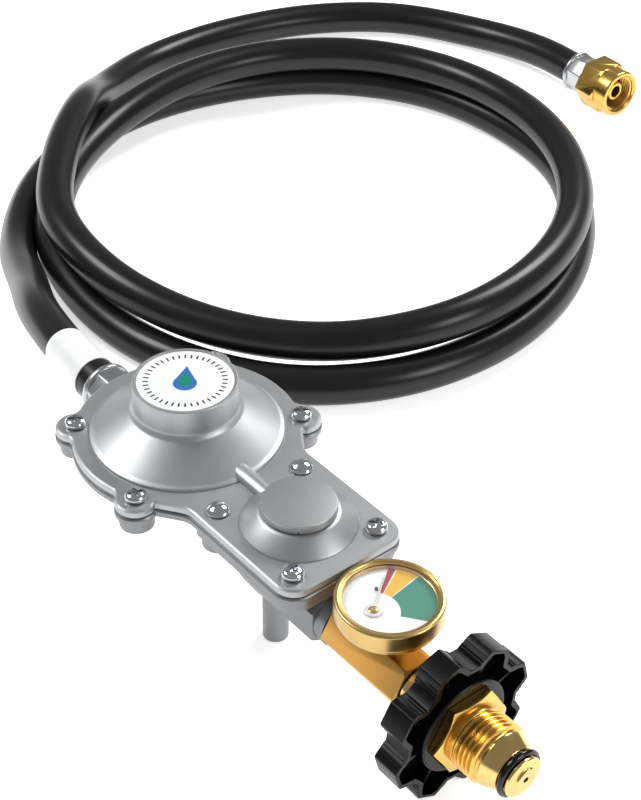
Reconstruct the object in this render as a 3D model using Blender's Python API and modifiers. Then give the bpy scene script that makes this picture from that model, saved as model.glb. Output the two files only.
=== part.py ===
"""Two-stage propane regulator with a handwheel inlet, a gauge and a coiled hose.

The frame: X runs along the inlet from the hose outlet (-X) to the tank nose (+X), Z is up, and the
origin is on the surface that the part stands on, under the middle of the regulator without its hose.
Lengths are in millimetres and become metres in the helpers.
"""

import math

import bmesh
import bpy
from mathutils import Matrix, Vector

MM = 0.001
GAP = 0.3                    # clearance between pieces that touch

# Stations of the main axes
BIG_X = -56.0                # second stage
SMALL_X = 7.4                # first stage
GAUGE_X = 53.5               # gauge
INLET_Z = 28.5               # inlet axis, parallel to X
OUTLET_Z = 42.0              # outlet axis, parallel to X
SEAM_Z = 53.0                # top face of the body casting
BONNET_Z = SEAM_Z + GAP      # bottom face of the bonnet casting
DECK_Z = 56.4                # top face of the bonnet's flange

# Plate outline
DISC_R = 41.0
EAR_R = 7.3
CORNER_R = 8.0
FRONT_X = 34.3
SIDE_Y = 25.2
NECK_X = -21.0
EARS = ((-36.2, 35.9), (-82.3, 30.0))
FRONT_SCREWS = ((26.3, 17.8), (26.3, -17.8))
NECK_SCREWS = ((-13.65, 17.9), (-13.65, -17.9))

# Second stage mechanism
LEVER_X = -46.0
LEVER_Z = 42.0
SLIDER_Z = 46.5

# Gauge
POINTER_XY = (53.4, -6.8)
POINTER_LENGTH = 16.8
POINTER_ANGLE = math.radians(127.0)
STOP_ANGLE = math.radians(134.0)
STOP_REACH = 9.8

# Handwheel
LOBES = 8
LOBE_R = 28.4
RECESS_R = 23.7
WHEEL_WALL = 2.2
LOBE_TURN = math.radians(15.0)

# Hose
HOSE_R = 8.4
LABEL_R = 9.3
LABEL_SPAN = (0.08, 0.95)   # shares of the hose's first bent stretch that the label covers
STRAIGHT_END = 8.0          # straight stretch of the hose at each fitting
HOSE_SPACING = 40.0
HOSE_ROUTE = (
    (-110.8, 0, 42), (-168, 9, 37), (-213, 28, 23), (-258, 49, 11), (-297, 82, 9), (-323, 125, 9),
    (-332, 175, 9), (-322, 225, 9), (-296, 268, 9), (-255, 297, 9), (-205, 305, 9), (-155, 295, 9),
    (-114, 265, 9), (-84, 224, 9), (-70, 175, 9), (-76, 124, 9), (-102, 82, 9), (-146, 56, 9),
    (-197, 50, 9), (-246, 61, 13), (-286, 92, 17), (-312, 136, 20), (-320, 186, 25), (-311, 236, 26),
    (-281, 277, 26), (-236, 299, 26), (-185, 300, 26), (-138, 281, 26), (-101, 246, 26), (-80, 200, 26),
    (-78, 150, 25), (-101, 105, 21), (-140, 73, 21), (-187, 56, 26), (-238, 60, 31), (-279, 87, 34),
    (-316, 123, 32), (-349, 157, 17), (-372, 202, 10), (-374, 252, 9), (-360, 302, 9), (-331, 342, 9),
    (-288, 366, 9), (-250, 373.4, 11.5), (-219.3, 372.1, 12.4),
)

# Swivel nut at the hose's end
NUT_FACE = (-185.5, 370.6, 12.4)
NUT_HEADING = math.radians(-2.5)

PARTS = None
CUTTERS = None
FINISHES = {}


def clear_scene():
    """Remove every object and make the two collections."""
    global PARTS, CUTTERS
    for old in list(bpy.data.objects):
        bpy.data.objects.remove(old, do_unlink=True)
    PARTS = bpy.data.collections.new("propane_regulator_hose")
    CUTTERS = bpy.data.collections.new("cutters")
    bpy.context.scene.collection.children.link(PARTS)
    bpy.context.scene.collection.children.link(CUTTERS)


def make_finish(name, colour, roughness, metallic):
    """Make one Principled material."""
    material = bpy.data.materials.new(name)
    material.use_nodes = True
    shader = material.node_tree.nodes["Principled BSDF"]
    shader.inputs["Base Color"].default_value = (*colour, 1.0)
    shader.inputs["Roughness"].default_value = roughness
    shader.inputs["Metallic"].default_value = metallic
    FINISHES[name] = material


def make_finishes():
    """Make every material of the part."""
    make_finish("die_cast", (0.52, 0.53, 0.54), 0.45, 1.0)
    make_finish("chrome", (0.80, 0.80, 0.82), 0.15, 1.0)
    make_finish("steel", (0.60, 0.60, 0.62), 0.30, 1.0)
    make_finish("brass", (0.80, 0.58, 0.22), 0.25, 1.0)
    make_finish("grey_plastic", (0.50, 0.51, 0.52), 0.50, 0.0)
    make_finish("white_label", (0.90, 0.90, 0.90), 0.60, 0.0)
    make_finish("black_plastic", (0.015, 0.015, 0.017), 0.15, 0.0)
    make_finish("rubber", (0.02, 0.02, 0.02), 0.50, 0.0)
    make_finish("hose_rubber", (0.03, 0.03, 0.03), 0.40, 0.0)
    make_finish("glass", (0.90, 0.92, 0.93), 0.05, 0.0)


def place(item, finish, guide=False):
    """Link an object to its collection and give it its material."""
    if guide:
        CUTTERS.objects.link(item)
        item.hide_render = True
        item.display_type = "WIRE"
    else:
        PARTS.objects.link(item)
    item.data.materials.clear()
    item.data.materials.append(FINISHES[finish])
    return item


def turned(name, profile, centre, finish="brass", axis="Z", steps=20, turn=0.0, guide=False):
    """Turn (radius, station) points about an axis; they run down the outer side, and a ring's close."""
    mesh = bpy.data.meshes.new(name)
    shape = bmesh.new()
    corners = [shape.verts.new((radius * MM, 0, station * MM)) for radius, station in profile]
    for first, second in zip(corners, corners[1:]):
        shape.edges.new((first, second))
    if profile[0][0] > 0:
        shape.edges.new((corners[-1], corners[0]))
    shape.to_mesh(mesh)
    shape.free()
    item = bpy.data.objects.new(name, mesh)
    place(item, finish, guide)
    item.matrix_world = (Matrix.Translation(Vector(centre) * MM) @ facing(axis)
                         @ Matrix.Rotation(turn, 4, "Z"))
    screw = item.modifiers.new("turn", "SCREW")
    screw.steps = steps
    screw.render_steps = steps
    screw.use_merge_vertices = True
    screw.merge_threshold = 0.00001
    return item


def facing(axis):
    """The rotation that lays the local Z axis along X, along Y or along the swivel nut."""
    if axis == "X":
        return Matrix.Rotation(math.pi / 2, 4, "Y")
    if axis == "Y":
        return Matrix.Rotation(-math.pi / 2, 4, "X")
    if axis == "NUT":
        return Matrix.Rotation(NUT_HEADING, 4, "Z") @ Matrix.Rotation(math.pi / 2, 4, "Y")
    return Matrix.Identity(4)


def rod(name, radius, low, high, centre, finish="brass", axis="Z", steps=14, turn=0.0, guide=False):
    """A plain cylinder between two stations."""
    profile = ((0, high), (radius, high), (radius, low), (0, low))
    return turned(name, profile, centre, finish, axis, steps, turn, guide)


def ring(name, outer, inner, low, high, centre, finish="brass", axis="Z", steps=20):
    """A plain washer or sleeve between two stations."""
    profile = ((outer, high), (outer, low), (inner, low), (inner, high))
    return turned(name, profile, centre, finish, axis, steps)


def block(name, low, high, finish="die_cast", guide=False):
    """A box between two corners."""
    size = Vector(high) - Vector(low)
    middle = (Vector(high) + Vector(low)) / 2
    shape = bmesh.new()
    bmesh.ops.create_cube(shape, size=1.0, matrix=Matrix.Diagonal((*(size * MM), 1.0)))
    mesh = bpy.data.meshes.new(name)
    shape.to_mesh(mesh)
    shape.free()
    item = bpy.data.objects.new(name, mesh)
    place(item, finish, guide)
    item.matrix_world = Matrix.Translation(middle * MM)
    return item


def meshed(curve, name, matrix, finish, guide):
    """Turn a curve into a welded mesh object."""
    draft = bpy.data.objects.new(name + "_curve", curve)
    bpy.context.scene.collection.objects.link(draft)
    bpy.context.view_layer.update()
    mesh = bpy.data.meshes.new_from_object(draft.evaluated_get(bpy.context.evaluated_depsgraph_get()))
    bpy.data.objects.remove(draft, do_unlink=True)
    shape = bmesh.new()
    shape.from_mesh(mesh)
    bmesh.ops.remove_doubles(shape, verts=shape.verts, dist=0.000002)
    bmesh.ops.recalc_face_normals(shape, faces=shape.faces)
    shape.to_mesh(mesh)
    shape.free()
    item = bpy.data.objects.new(name, mesh)
    place(item, finish, guide)
    item.matrix_world = matrix
    return item


def plate(name, outline, low, high, finish="die_cast", matrix=None, guide=False):
    """A flat plate of a closed outline, from `low` to `high` along its own Z."""
    curve = bpy.data.curves.new(name, "CURVE")
    curve.dimensions = "2D"
    curve.fill_mode = "BOTH"
    curve.extrude = (high - low) / 2 * MM
    spline = curve.splines.new("POLY")
    spline.points.add(len(outline) - 1)
    for point, (x, y) in zip(spline.points, outline):
        point.co = (x * MM, y * MM, 0, 1)
    spline.use_cyclic_u = True
    lift = Matrix.Translation((0, 0, (high + low) / 2 * MM))
    return meshed(curve, name, (matrix or Matrix.Identity(4)) @ lift, finish, guide)


def wire(name, points, radius, finish, sides=2, guide=False):
    """A round wire along points."""
    curve = bpy.data.curves.new(name, "CURVE")
    curve.dimensions = "3D"
    curve.bevel_depth = radius * MM
    curve.bevel_resolution = sides
    curve.use_fill_caps = True
    spline = curve.splines.new("POLY")
    spline.points.add(len(points) - 1)
    for point, spot in zip(spline.points, points):
        point.co = (*(Vector(spot) * MM), 1)
    return meshed(curve, name, Matrix.Identity(4), finish, guide)


def combine(item, tools, operation):
    """Make one Boolean of a part with a group of guide objects."""
    name = f"{item.name}_{operation.lower()}_{len(item.modifiers)}"
    group = bpy.data.collections.new(name)
    CUTTERS.children.link(group)
    for tool in tools:
        group.objects.link(tool)
    boolean = item.modifiers.new(name, "BOOLEAN")
    boolean.operation = operation
    boolean.solver = "EXACT"
    boolean.operand_type = "COLLECTION"
    boolean.collection = group


def add(item, *tools):
    """Join guide objects to a part."""
    combine(item, tools, "UNION")


def cut(item, *tools):
    """Cut guide objects out of a part."""
    combine(item, tools, "DIFFERENCE")


def drill(name, radius, low, high, spots, sides=6):
    """Upright rods at several spots, as guides."""
    return [rod(f"{name}_{index}", radius, low, high, (*spot, 0), "die_cast", steps=sides, guide=True)
            for index, spot in enumerate(spots)]


def arc(x, y, radius, first, last, count):
    """Points of an arc; the angles are in degrees."""
    points = []
    for index in range(count + 1):
        angle = math.radians(first + (last - first) * index / count)
        points.append((x + radius * math.cos(angle), y + radius * math.sin(angle)))
    return points


def plate_outline(grow=0.0):
    """The outline that both castings share: a big disc with ears, a neck and a rounded rectangle."""
    half = arc(FRONT_X - CORNER_R, SIDE_Y - CORNER_R, CORNER_R + grow, 0, 90, 3)
    half.append((NECK_X, SIDE_Y + grow))
    disc_from = 0.0
    for index, (x, y) in enumerate(EARS):
        bearing = math.degrees(math.atan2(y, x - BIG_X))
        ear = arc(x, y, EAR_R + grow, bearing - 90, bearing + 90, 5)
        if index > 0:
            entry = math.degrees(math.atan2(ear[0][1], ear[0][0] - BIG_X))
            half += arc(BIG_X, 0, DISC_R + grow, disc_from, entry, 5)[1:-1]
        half += ear
        disc_from = math.degrees(math.atan2(ear[-1][1], ear[-1][0] - BIG_X))
    half += arc(BIG_X, 0, DISC_R + grow, disc_from, 180, 4)[1:]
    return half + [(x, -y) for x, y in reversed(half[:-1])]


def screw_spots():
    """Where the six cross-head cover screws stand."""
    return [spot for x, y in EARS for spot in ((x, y), (x, -y))] + list(FRONT_SCREWS)


def body_casting():
    """The lower casting: flange, two bowls, bosses, vent tube and the bores between them."""
    body = plate("body_casting", plate_outline(0.3), 49.7, SEAM_Z)
    big = (BIG_X, 0, 0)
    small = (SMALL_X, 0, 0)
    bowl = ((0, 51), (38, 51), (38, 49.5), (33, 45), (26, 40.5), (16, 35), (0, 34.5))
    small_bowl = ((0, 51), (24, 51), (24, 46.5), (22, 41.5), (18, 34.5), (15, 30.5), (0, 29))
    add(body, turned("bowl", bowl, big, "die_cast", steps=24, guide=True),
        turned("small_bowl", small_bowl, small, "die_cast", steps=20, guide=True),
        block("small_wall", (-19, -24.4, 45.7), (33.6, 24.4, 51), guide=True),
        block("bridge", (-40, -10, 36), (-5, 10, 50), guide=True),
        rod("inlet_boss", 10.4 / math.cos(math.pi / 6), 0, 27.5, (0, 0, INLET_Z), "die_cast", "X", 6,
            guide=True),
        rod("inlet_collar", 10, 20, 32, (0, 0, INLET_Z), "die_cast", "X", 24, guide=True),
        rod("outlet_boss", 10.5, -98.5, -75, (0, 0, OUTLET_Z), "die_cast", "X", 24, guide=True),
        rod("vent_tube", 4.65, 0, 32, (-0.4, -4.1, 0), "die_cast", steps=20, guide=True),
        *drill("screw_boss", 6.2, 45.2, 51, screw_spots(), 10),
        *drill("neck_boss", 6, 42, 51, NECK_SCREWS, 10))
    chamber = ((0, 54), (38.3, 54), (38.3, 51.9), (32.5, 51.9), (31, 47), (24, 42.5), (13, 37.5),
               (0, 37.5))
    small_chamber = ((0, 54), (19.6, 54), (19.6, 51.9), (17.5, 51.9), (17.5, 44), (0, 44))
    cut(body, turned("chamber", chamber, big, "die_cast", steps=24, guide=True),
        turned("small_chamber", small_chamber, small, "die_cast", steps=20, guide=True))
    add(body, block("slider_guide", (-38, -6, 36), (-33.5, 6, 50.2), guide=True),
        block("lug_left", (-49, 3.7, 36.5), (-43, 6.6, 45), guide=True),
        block("lug_right", (-49, -6.6, 36.5), (-43, -3.7, 45), guide=True))
    valve_bore = ((0, 45), (5.5, 45), (5.5, 38), (4.6, 38), (4.6, 24), (0, 24))
    passage = ((0, 33), (7.3, 33), (7.3, 19.5), (3.5, 19.5), (3.5, 7.6), (0, 7.6))
    cut(body, turned("valve_bore", valve_bore, small, "die_cast", steps=20, guide=True),
        turned("inlet_passage", passage, (0, 0, INLET_Z), "die_cast", "X", 20, guide=True),
        rod("slider_bore", 3.4, -38.5, -9, (0, 0, SLIDER_Z), "die_cast", "X", guide=True),
        rod("lever_bore", 1.3, -6.3, 6.3, (LEVER_X, 0, LEVER_Z), "die_cast", "Y", 12, guide=True),
        rod("outlet_bore", 6.3, -99, -72, (0, 0, OUTLET_Z), "die_cast", "X", 20, guide=True),
        rod("vent_bore", 3.2, -1, 14, (-0.4, -4.1, 0), "die_cast", guide=True),
        *drill("screw_hole", 2.5, 46.4, 54, screw_spots()),
        *drill("neck_hole", 2.5, 45.5, 54, NECK_SCREWS))


def bonnet_casting():
    """The upper casting: flange, two domes and the rib between them."""
    bonnet = plate("bonnet_casting", plate_outline(), BONNET_Z, DECK_Z)
    big = (BIG_X, 0, 0)
    small = (SMALL_X, 0, 0)
    cut(bonnet, rod("dome_mouth", 32, 52, 58, big, "die_cast", steps=28, turn=0.1, guide=True),
        rod("small_mouth", 16.2, 52, 58, small, "die_cast", steps=20, turn=0.1, guide=True),
        *drill("bonnet_hole", 2.5, 52, 58, screw_spots() + list(NECK_SCREWS)))
    dome = ((18.76, 77.9), (18.76, 67.5), (19.6, 66.3), (33.5, 57.2), (34.9, 57), (34.9, 54.5),
            (31.5, 54.5), (31, 57), (17.3, 64.8), (15, 66), (15, 75.4), (17.3, 75.4), (17.3, 77.9))
    small_dome = ((13, 62), (13.5, 61.8), (20, 56.9), (20, 54.5), (15.8, 54.5), (10, 59.5), (9.5, 60),
                  (9.5, 62))
    add(bonnet, turned("dome", dome, big, "die_cast", steps=28, guide=True),
        turned("small_dome", small_dome, small, "die_cast", steps=20, guide=True),
        rod("rib", 3, -26.5, -8.7, (0, 0, 56.7), "die_cast", "X", 12, guide=True))


def spring(name, radius, gauge, low, high, turns, centre, axis="Z", per_turn=10):
    """A coil spring between two stations."""
    points = []
    rotation = facing(axis)
    for index in range(turns * per_turn + 1):
        angle = math.tau * index / per_turn
        share = index / (turns * per_turn)
        station = low + gauge + (high - low - 2 * gauge) * share
        local = Vector((radius * math.cos(angle), radius * math.sin(angle), station))
        points.append(rotation @ local + Vector(centre))
    wire(name, points, gauge, "steel")


def screws():
    """Six cross-head cover screws and the two round-head screws at the neck."""
    pan = ((0, 59.2), (2.6, 59.2), (3.6, 58.2), (3.6, 56.7), (2, 56.7), (2, 47), (0, 47))
    for index, (x, y) in enumerate(screw_spots(), 1):
        turned(f"cover_screw_{index}", pan, (x, y, 0), "chrome", steps=10)
    dome = ((0, 58.9), (2.6, 58.5), (4.1, 57.3), (4.1, 56.7), (2, 56.7), (2, 46), (0, 46))
    for index, (x, y) in enumerate(NECK_SCREWS, 1):
        turned(f"dome_screw_{index}", dome, (x, y, 0), "die_cast", steps=10)


def second_stage():
    """The large diaphragm with its spring stack, relief post, lever and valve."""
    centre = (BIG_X, 0, 0)
    ring("stage2_diaphragm", 37.4, 3, 52.2, 53, centre, "rubber", steps=28)
    hub = ((12.5, 56.5), (12.5, 54.8), (22, 54.8), (22, BONNET_Z), (2, BONNET_Z), (2, 56.5))
    turned("stage2_plate", hub, centre, "steel", steps=24)
    spring("stage2_spring", 10.2, 0.8, 56.8, 69.7, 5, centre)
    ring("stage2_adjuster", 14.6, 4, 70, 74, centre, "steel")
    rod("closing_cap", 17, 75.7, 77, centre, "die_cast", steps=28)
    rod("cap_label", 16.7, 77.3, 77.6, centre, "white_label", steps=28)
    post = ((0, 62), (1.6, 62), (1.6, 51.9), (5, 51.9), (5, 50.7), (2.6, 50.7), (2.6, 43.2), (1.2, 43.2),
            (1.2, 40.8), (2.6, 40.8), (2.6, 39.2), (0, 39.2))
    turned("relief_post", post, centre, "steel", steps=16)
    ring("relief_nut", 4, 1.9, 60.5, 62, centre, "steel", steps=10)
    spring("relief_spring", 2.9, 0.35, 56.8, 60.2, 2, centre, per_turn=8)
    lever()
    rod("lever_pin", 1, -6, 6, (LEVER_X, 0, LEVER_Z), "steel", "Y", 12)
    slider = rod("stage2_slider", 3, -50, -32.6, (0, 0, SLIDER_Z), "steel", "X", 16)
    cut(slider, block("slider_slot", (-47.7, -3.2, 40), (-44.3, 3.2, 48.2), guide=True))
    rod("slider_pad", 2.6, -32.3, -31.2, (0, 0, SLIDER_Z), "rubber", "X")
    ring("stage2_orifice", 3.1, 1.3, -30.2, -12, (0, 0, SLIDER_Z), "brass", "X", 16)


def lever():
    """The lever that turns the diaphragm's rise into the valve slider's travel."""
    arm = block("stage2_lever", (-58.6, -2.6, 41.4), (LEVER_X, 2.6, 42.6), "steel")
    add(arm, rod("lever_hub", 2, -2.6, 2.6, (LEVER_X, 0, LEVER_Z), "steel", "Y", 12, guide=True),
        block("lever_short_arm", (-46.7, -1.5, 42), (-45.3, 1.5, 46.5), "steel", guide=True),
        rod("lever_tip", 1.1, -1.5, 1.5, (LEVER_X, 0, 46.5), "steel", "Y", 12, guide=True))
    cut(arm, block("fork_slot", (-60, -1.5, 40), (-54.5, 1.5, 44), guide=True),
        rod("lever_eye", 1.3, -4, 4, (LEVER_X, 0, LEVER_Z), "steel", "Y", 12, guide=True))
    origin_to(arm, (LEVER_X, 0, LEVER_Z))


def origin_to(item, spot):
    """Move an object's origin to a point and leave its mesh where it is."""
    shift = Matrix.Translation(Vector(spot) * MM)
    item.data.transform(shift.inverted() @ item.matrix_world)
    item.matrix_world = shift


def first_stage():
    """The small diaphragm with its spring, poppet and seat."""
    centre = (SMALL_X, 0, 0)
    ring("stage1_diaphragm", 19.2, 1.8, 52.2, 53, centre, "rubber", steps=24)
    seat = ((0, 55.3), (5, 55.3), (5, 54.4), (8.5, 54.4), (8.5, BONNET_Z), (1.5, BONNET_Z), (1.5, 50.3),
            (0, 50.3))
    turned("stage1_plate", seat, centre, "steel", steps=20)
    ring("stage1_button", 6, 1.8, 50.6, 51.9, centre, "steel", steps=20)
    spring("stage1_spring", 6.4, 0.6, 54.7, 61.3, 3, centre)
    ring("stage1_adjuster", 8.6, 3, 61.6, 63.9, centre, "steel")
    cap = ((0, 65.4), (12.5, 65.4), (12.98, 65), (12.98, 62.3), (8.9, 62.3), (8.9, 64.2), (0, 64.2))
    turned("stage1_cap", cap, centre, "grey_plastic", steps=24)
    insert = ((5.2, 44), (5.2, 38.3), (3, 38.3), (3, 37.8), (1.9, 37.8), (1.9, 44))
    turned("stage1_seat", insert, centre, "brass", steps=16)
    poppet = ((0, 50), (0.9, 50), (0.9, 36.8), (3.4, 36.8), (3.4, 34.5), (1.5, 34.5), (1.5, 32), (0, 32))
    turned("stage1_poppet", poppet, centre, "steel", steps=10)
    spring("poppet_spring", 2.6, 0.4, 24.3, 34.2, 4, centre, per_turn=8)


def gauge():
    """The brass block with the gauge on top of it."""
    centre = (GAUGE_X, 0, 0)
    corner = 9.5 / math.cos(math.pi / 6)
    ends = ((0, 69), (9.6, 69), (corner, 68.2), (corner, 33.2), (9.6, 32.3), (0, 32.3))
    bar = turned("gauge_block", ends, (0, 0, INLET_Z), "brass", "X", 6, math.pi / 6)
    add(bar, rod("block_spigot", 7, 19.8, 34, (0, 0, INLET_Z), "brass", "X", 24, guide=True))
    cut(bar, rod("block_bore", 4, 19, 61, (0, 0, INLET_Z), "brass", "X", guide=True),
        rod("block_counterbore", 6.3, 60, 70, (0, 0, INLET_Z), "brass", "X", guide=True))
    case = ((0, 49.8), (16.5, 49.8), (16.5, 53.7), (17.2, 53.7), (17.2, 48.2), (5, 48.2), (5, 38.3),
            (0, 38.3))
    turned("gauge_case", case, centre, "brass", steps=24)
    bezel = ((17.7, 56.9), (18.15, 56.4), (18.15, 49.9), (17.5, 49.9), (17.5, 56.5), (15.6, 56.5),
             (15.6, 56.9))
    turned("gauge_bezel", bezel, centre, "brass", steps=28)
    dial = rod("gauge_dial", 17.2, 54, 54.4, centre, "white_label", steps=24)
    cut(dial, rod("dial_eye", 1.2, 53, 56, (*POINTER_XY, 0), "white_label", steps=8, guide=True))
    rod("gauge_lens", 17.2, 55.8, 56.2, centre, "glass", steps=24)
    arbor = ((0, 55.5), (1.5, 55.5), (1.5, 55.3), (0.8, 55.3), (0.8, 50.4), (0, 50.4))
    turned("pointer_arbor", arbor, (*POINTER_XY, 0), "brass", steps=10)
    pointer = ((0, -1.5), (POINTER_LENGTH - 2, -0.35), (POINTER_LENGTH, 0), (POINTER_LENGTH - 2, 0.35),
               (0, 1.5))
    pivot = Matrix.Translation(Vector((*POINTER_XY, 0)) * MM) @ Matrix.Rotation(POINTER_ANGLE, 4, "Z")
    needle = plate("gauge_pointer", pointer + tuple(arc(0, 0, 1.8, 110, 250, 4)), 54.7, 55, "steel", pivot)
    cut(needle, rod("pointer_eye", 1.1, 53, 56, (*POINTER_XY, 0), "steel", steps=12, guide=True))
    stop = (POINTER_XY[0] + STOP_REACH * math.cos(STOP_ANGLE),
            POINTER_XY[1] + STOP_REACH * math.sin(STOP_ANGLE))
    rod("dial_stop", 0.5, 54.7, 55.4, (*stop, 0), "rubber", steps=10)
    tube = [(*spot, 51.5) for spot in arc(GAUGE_X, 0, 11, -60, 200, 13)]
    wire("gauge_tube", tube, 1.2, "brass")


def inlet():
    """The nipple with its check parts, the nut and the handwheel."""
    axis = (0, 0, INLET_Z)
    nipple = ((4.2, 118.5), (4.2, 117.2), (7.4, 117.2), (7.4, 116), (6.6, 116), (6.6, 113.3), (8.2, 113.3),
              (10.4, 107.4), (10.4, 107.1), (7.2, 107.1), (7.2, 72), (9, 72), (9, 69.3), (6, 69.3),
              (6, 60.5), (4, 60.5), (4, 84), (4.6, 84), (4.6, 116.2), (1.2, 116.2), (1.2, 118.5))
    turned("inlet_nipple", nipple, axis, "brass", "X", 24)
    ring_turn = [(7.9 + y, 114.65 + x) for x, y in arc(0, 0, 1, 0, 315, 7)]
    turned("nose_ring", ring_turn, axis, "rubber", "X", 24)
    ring("check_seat", 4.3, 1.6, 84.3, 86.8, axis, "brass", "X", 16)
    poppet = ((0, 99), (3.2, 99), (3.2, 92), (1.8, 92), (1.8, 88.3), (0, 88.3))
    turned("excess_flow_poppet", poppet, axis, "brass", "X", 12)
    spring("excess_flow_spring", 2.9, 0.3, 87.2, 90.4, 2, axis, "X", 8)
    ring("inlet_filter", 4.3, 1.2, 99.8, 103, axis, "brass", "X", 16)
    corner = 13.5 / math.cos(math.pi / 6)
    nut = rod("inlet_nut", corner, 78, 94.5, axis, "brass", "X", 6, math.pi / 6)
    thread = ((0, 106.8), (10.4, 106.8), (11.2, 106), (11.2, 93), (0, 93))
    add(nut, turned("nut_thread", thread, axis, "brass", "X", 24, guide=True))
    cut(nut, rod("nut_bore", 7.6, 77, 108, axis, "brass", "X", 24, guide=True))
    handwheel(axis)


def lobe_outline(inset):
    """The handwheel's outline: eight lobes, each an arc, with a lower arc between neighbours."""
    outline = []
    step = 360 / LOBES
    for index in range(LOBES):
        middle = math.degrees(LOBE_TURN) + index * step
        outline += arc(0, 0, LOBE_R - inset, middle - 12.5, middle + 12.5, 4)
        outline += arc(0, 0, RECESS_R - inset, middle + 17.5, middle + 27.5, 2)
    return outline


def handwheel(axis):
    """A cup with lobes, open to the front, with a hexagon hole through its hub."""
    across = Matrix(((0, 0, 1, 0), (1, 0, 0, 0), (0, 1, 0, 0), (0, 0, 0, 1)))
    centre = Matrix.Translation(Vector(axis) * MM) @ across
    wheel = plate("handwheel", lobe_outline(0), 79.8, 90, "black_plastic", centre)
    cut(wheel, plate("wheel_hollow", lobe_outline(WHEEL_WALL), 82, 91, "black_plastic", centre, True))
    add(wheel, rod("wheel_hub", 17.5, 81, 90.7, axis, "black_plastic", "X", 24, guide=True))
    cut(wheel, rod("wheel_hexagon", 13.8 / math.cos(math.pi / 6), 79, 92, axis, "black_plastic", "X", 6,
                   math.pi / 6, True))


def smooth_route(route, first_heading, last_heading, spacing):
    """Evenly spaced points of a smooth curve through the route's own points."""
    knots = [Vector(spot) for spot in route]
    slopes = [(after - before) / 2 for before, after in zip(knots, knots[2:])]
    slopes.insert(0, Vector(first_heading) * (knots[1] - knots[0]).length)
    slopes.append(Vector(last_heading) * (knots[-1] - knots[-2]).length)
    fine = [knots[0]]
    for index in range(len(knots) - 1):
        for part in range(1, 21):
            t = part / 20
            fine.append(knots[index] * (2 * t ** 3 - 3 * t ** 2 + 1)
                        + slopes[index] * (t ** 3 - 2 * t ** 2 + t)
                        + knots[index + 1] * (3 * t ** 2 - 2 * t ** 3)
                        + slopes[index + 1] * (t ** 3 - t ** 2))
    lengths = [0.0]
    for before, after in zip(fine, fine[1:]):
        lengths.append(lengths[-1] + (after - before).length)
    count = round(lengths[-1] / spacing)
    return [point_at(fine, lengths, lengths[-1] * index / count) for index in range(count + 1)]


def point_at(fine, lengths, distance):
    """The point at a distance along a dense polyline."""
    index = 1
    while index < len(fine) - 1 and lengths[index] < distance:
        index += 1
    share = (distance - lengths[index - 1]) / (lengths[index] - lengths[index - 1])
    return fine[index - 1].lerp(fine[index], share)


def hose():
    """The outlet fitting, the hose with its label and the swivel nut at its far end."""
    axis = (0, 0, OUTLET_Z)
    fitting = ((6, -86), (6, -100), (5, -100), (5, -108), (3.2, -108), (3.2, -86))
    turned("outlet_fitting", fitting, axis, "brass", "X", 16)
    ferrule = ((6.9, -98.8), (9.4, -99.4), (9.4, -108), (10.4, -108), (10.4, -110.5), (8.6, -110.5),
               (5.9, -109.4), (5.9, -100.3), (6.9, -100.3))
    turned("outlet_ferrule", ferrule, axis, "chrome", "X", 8, math.pi / 8)
    heading = Vector((math.cos(NUT_HEADING), math.sin(NUT_HEADING), 0))
    points = smooth_route(HOSE_ROUTE, (-1, 0, 0), heading, HOSE_SPACING)
    points.insert(1, points[0] - Vector((STRAIGHT_END, 0, 0)))
    points.insert(-1, points[-1] - heading * STRAIGHT_END)
    wire("hose_tube", points, HOSE_R, "hose_rubber", 3)
    start, bend = points[1:3]
    label = wire("hose_label", [start.lerp(bend, share) for share in LABEL_SPAN], LABEL_R, "white_label", 4)
    cut(label, wire("label_hollow", [start.lerp(bend, share) for share in (-0.2, 1.2)], HOSE_R + 0.45,
                    "white_label", 4, True))
    stem = ((5, -3.5), (8.3, -9), (8.3, -12.6), (6, -13.2), (6, -22.6), (5, -22.6), (5, -32.4), (3, -32.4),
            (3, -3.5))
    turned("flare_stem", stem, NUT_FACE, "brass", "NUT", 20)
    end = ((6.5, -21.8), (8.9, -22.4), (8.9, -31.2), (10.3, -31.2), (10.3, -33.5), (8.6, -33.5),
           (5.4, -32.9), (5.4, -22.9), (6.5, -22.9))
    turned("end_ferrule", end, NUT_FACE, "chrome", "NUT", 16)
    flare_nut()


def flare_nut():
    """The swivel nut: a hexagon with a round rim, hollow for the thread."""
    corner = 12 / math.cos(math.pi / 6)
    nut = turned("flare_nut", ((0, -9), (12.1, -9), (corner, -9.8), (corner, -20.6), (12.1, -21.5),
                               (0, -21.5)), NUT_FACE, "brass", "NUT", 6, math.pi / 6)
    rim = ((0, 0), (11.6, 0), (12.1, -0.8), (12.1, -10), (0, -10))
    hollow = ((0, 1), (9.7, 1), (9.7, -13.6), (6.4, -13.6), (6.4, -22), (0, -22))
    add(nut, turned("nut_rim", rim, NUT_FACE, "brass", "NUT", 20, guide=True))
    cut(nut, turned("nut_hollow", hollow, NUT_FACE, "brass", "NUT", 20, guide=True))


def main():
    """Build every piece."""
    clear_scene()
    make_finishes()
    body_casting()
    bonnet_casting()
    screws()
    second_stage()
    first_stage()
    gauge()
    inlet()
    hose()
    ring("vent_screen", 2.9, 0.8, 9, 10, (-0.4, -4.1, 0), "steel", steps=10)


main()
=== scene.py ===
"""Finished model of a two-stage propane regulator with its gauge, handwheel inlet and coiled hose.

Every length is in millimetres until a mesh is written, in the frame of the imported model: X runs along
the inlet towards the tank nose, Z is up, and the origin is on the surface the part stands on.
"""

from __future__ import annotations

import logging
import math
from dataclasses import dataclass
from enum import Enum
from typing import Sequence

import bmesh
import bpy
from mathutils import Matrix, Vector

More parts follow.
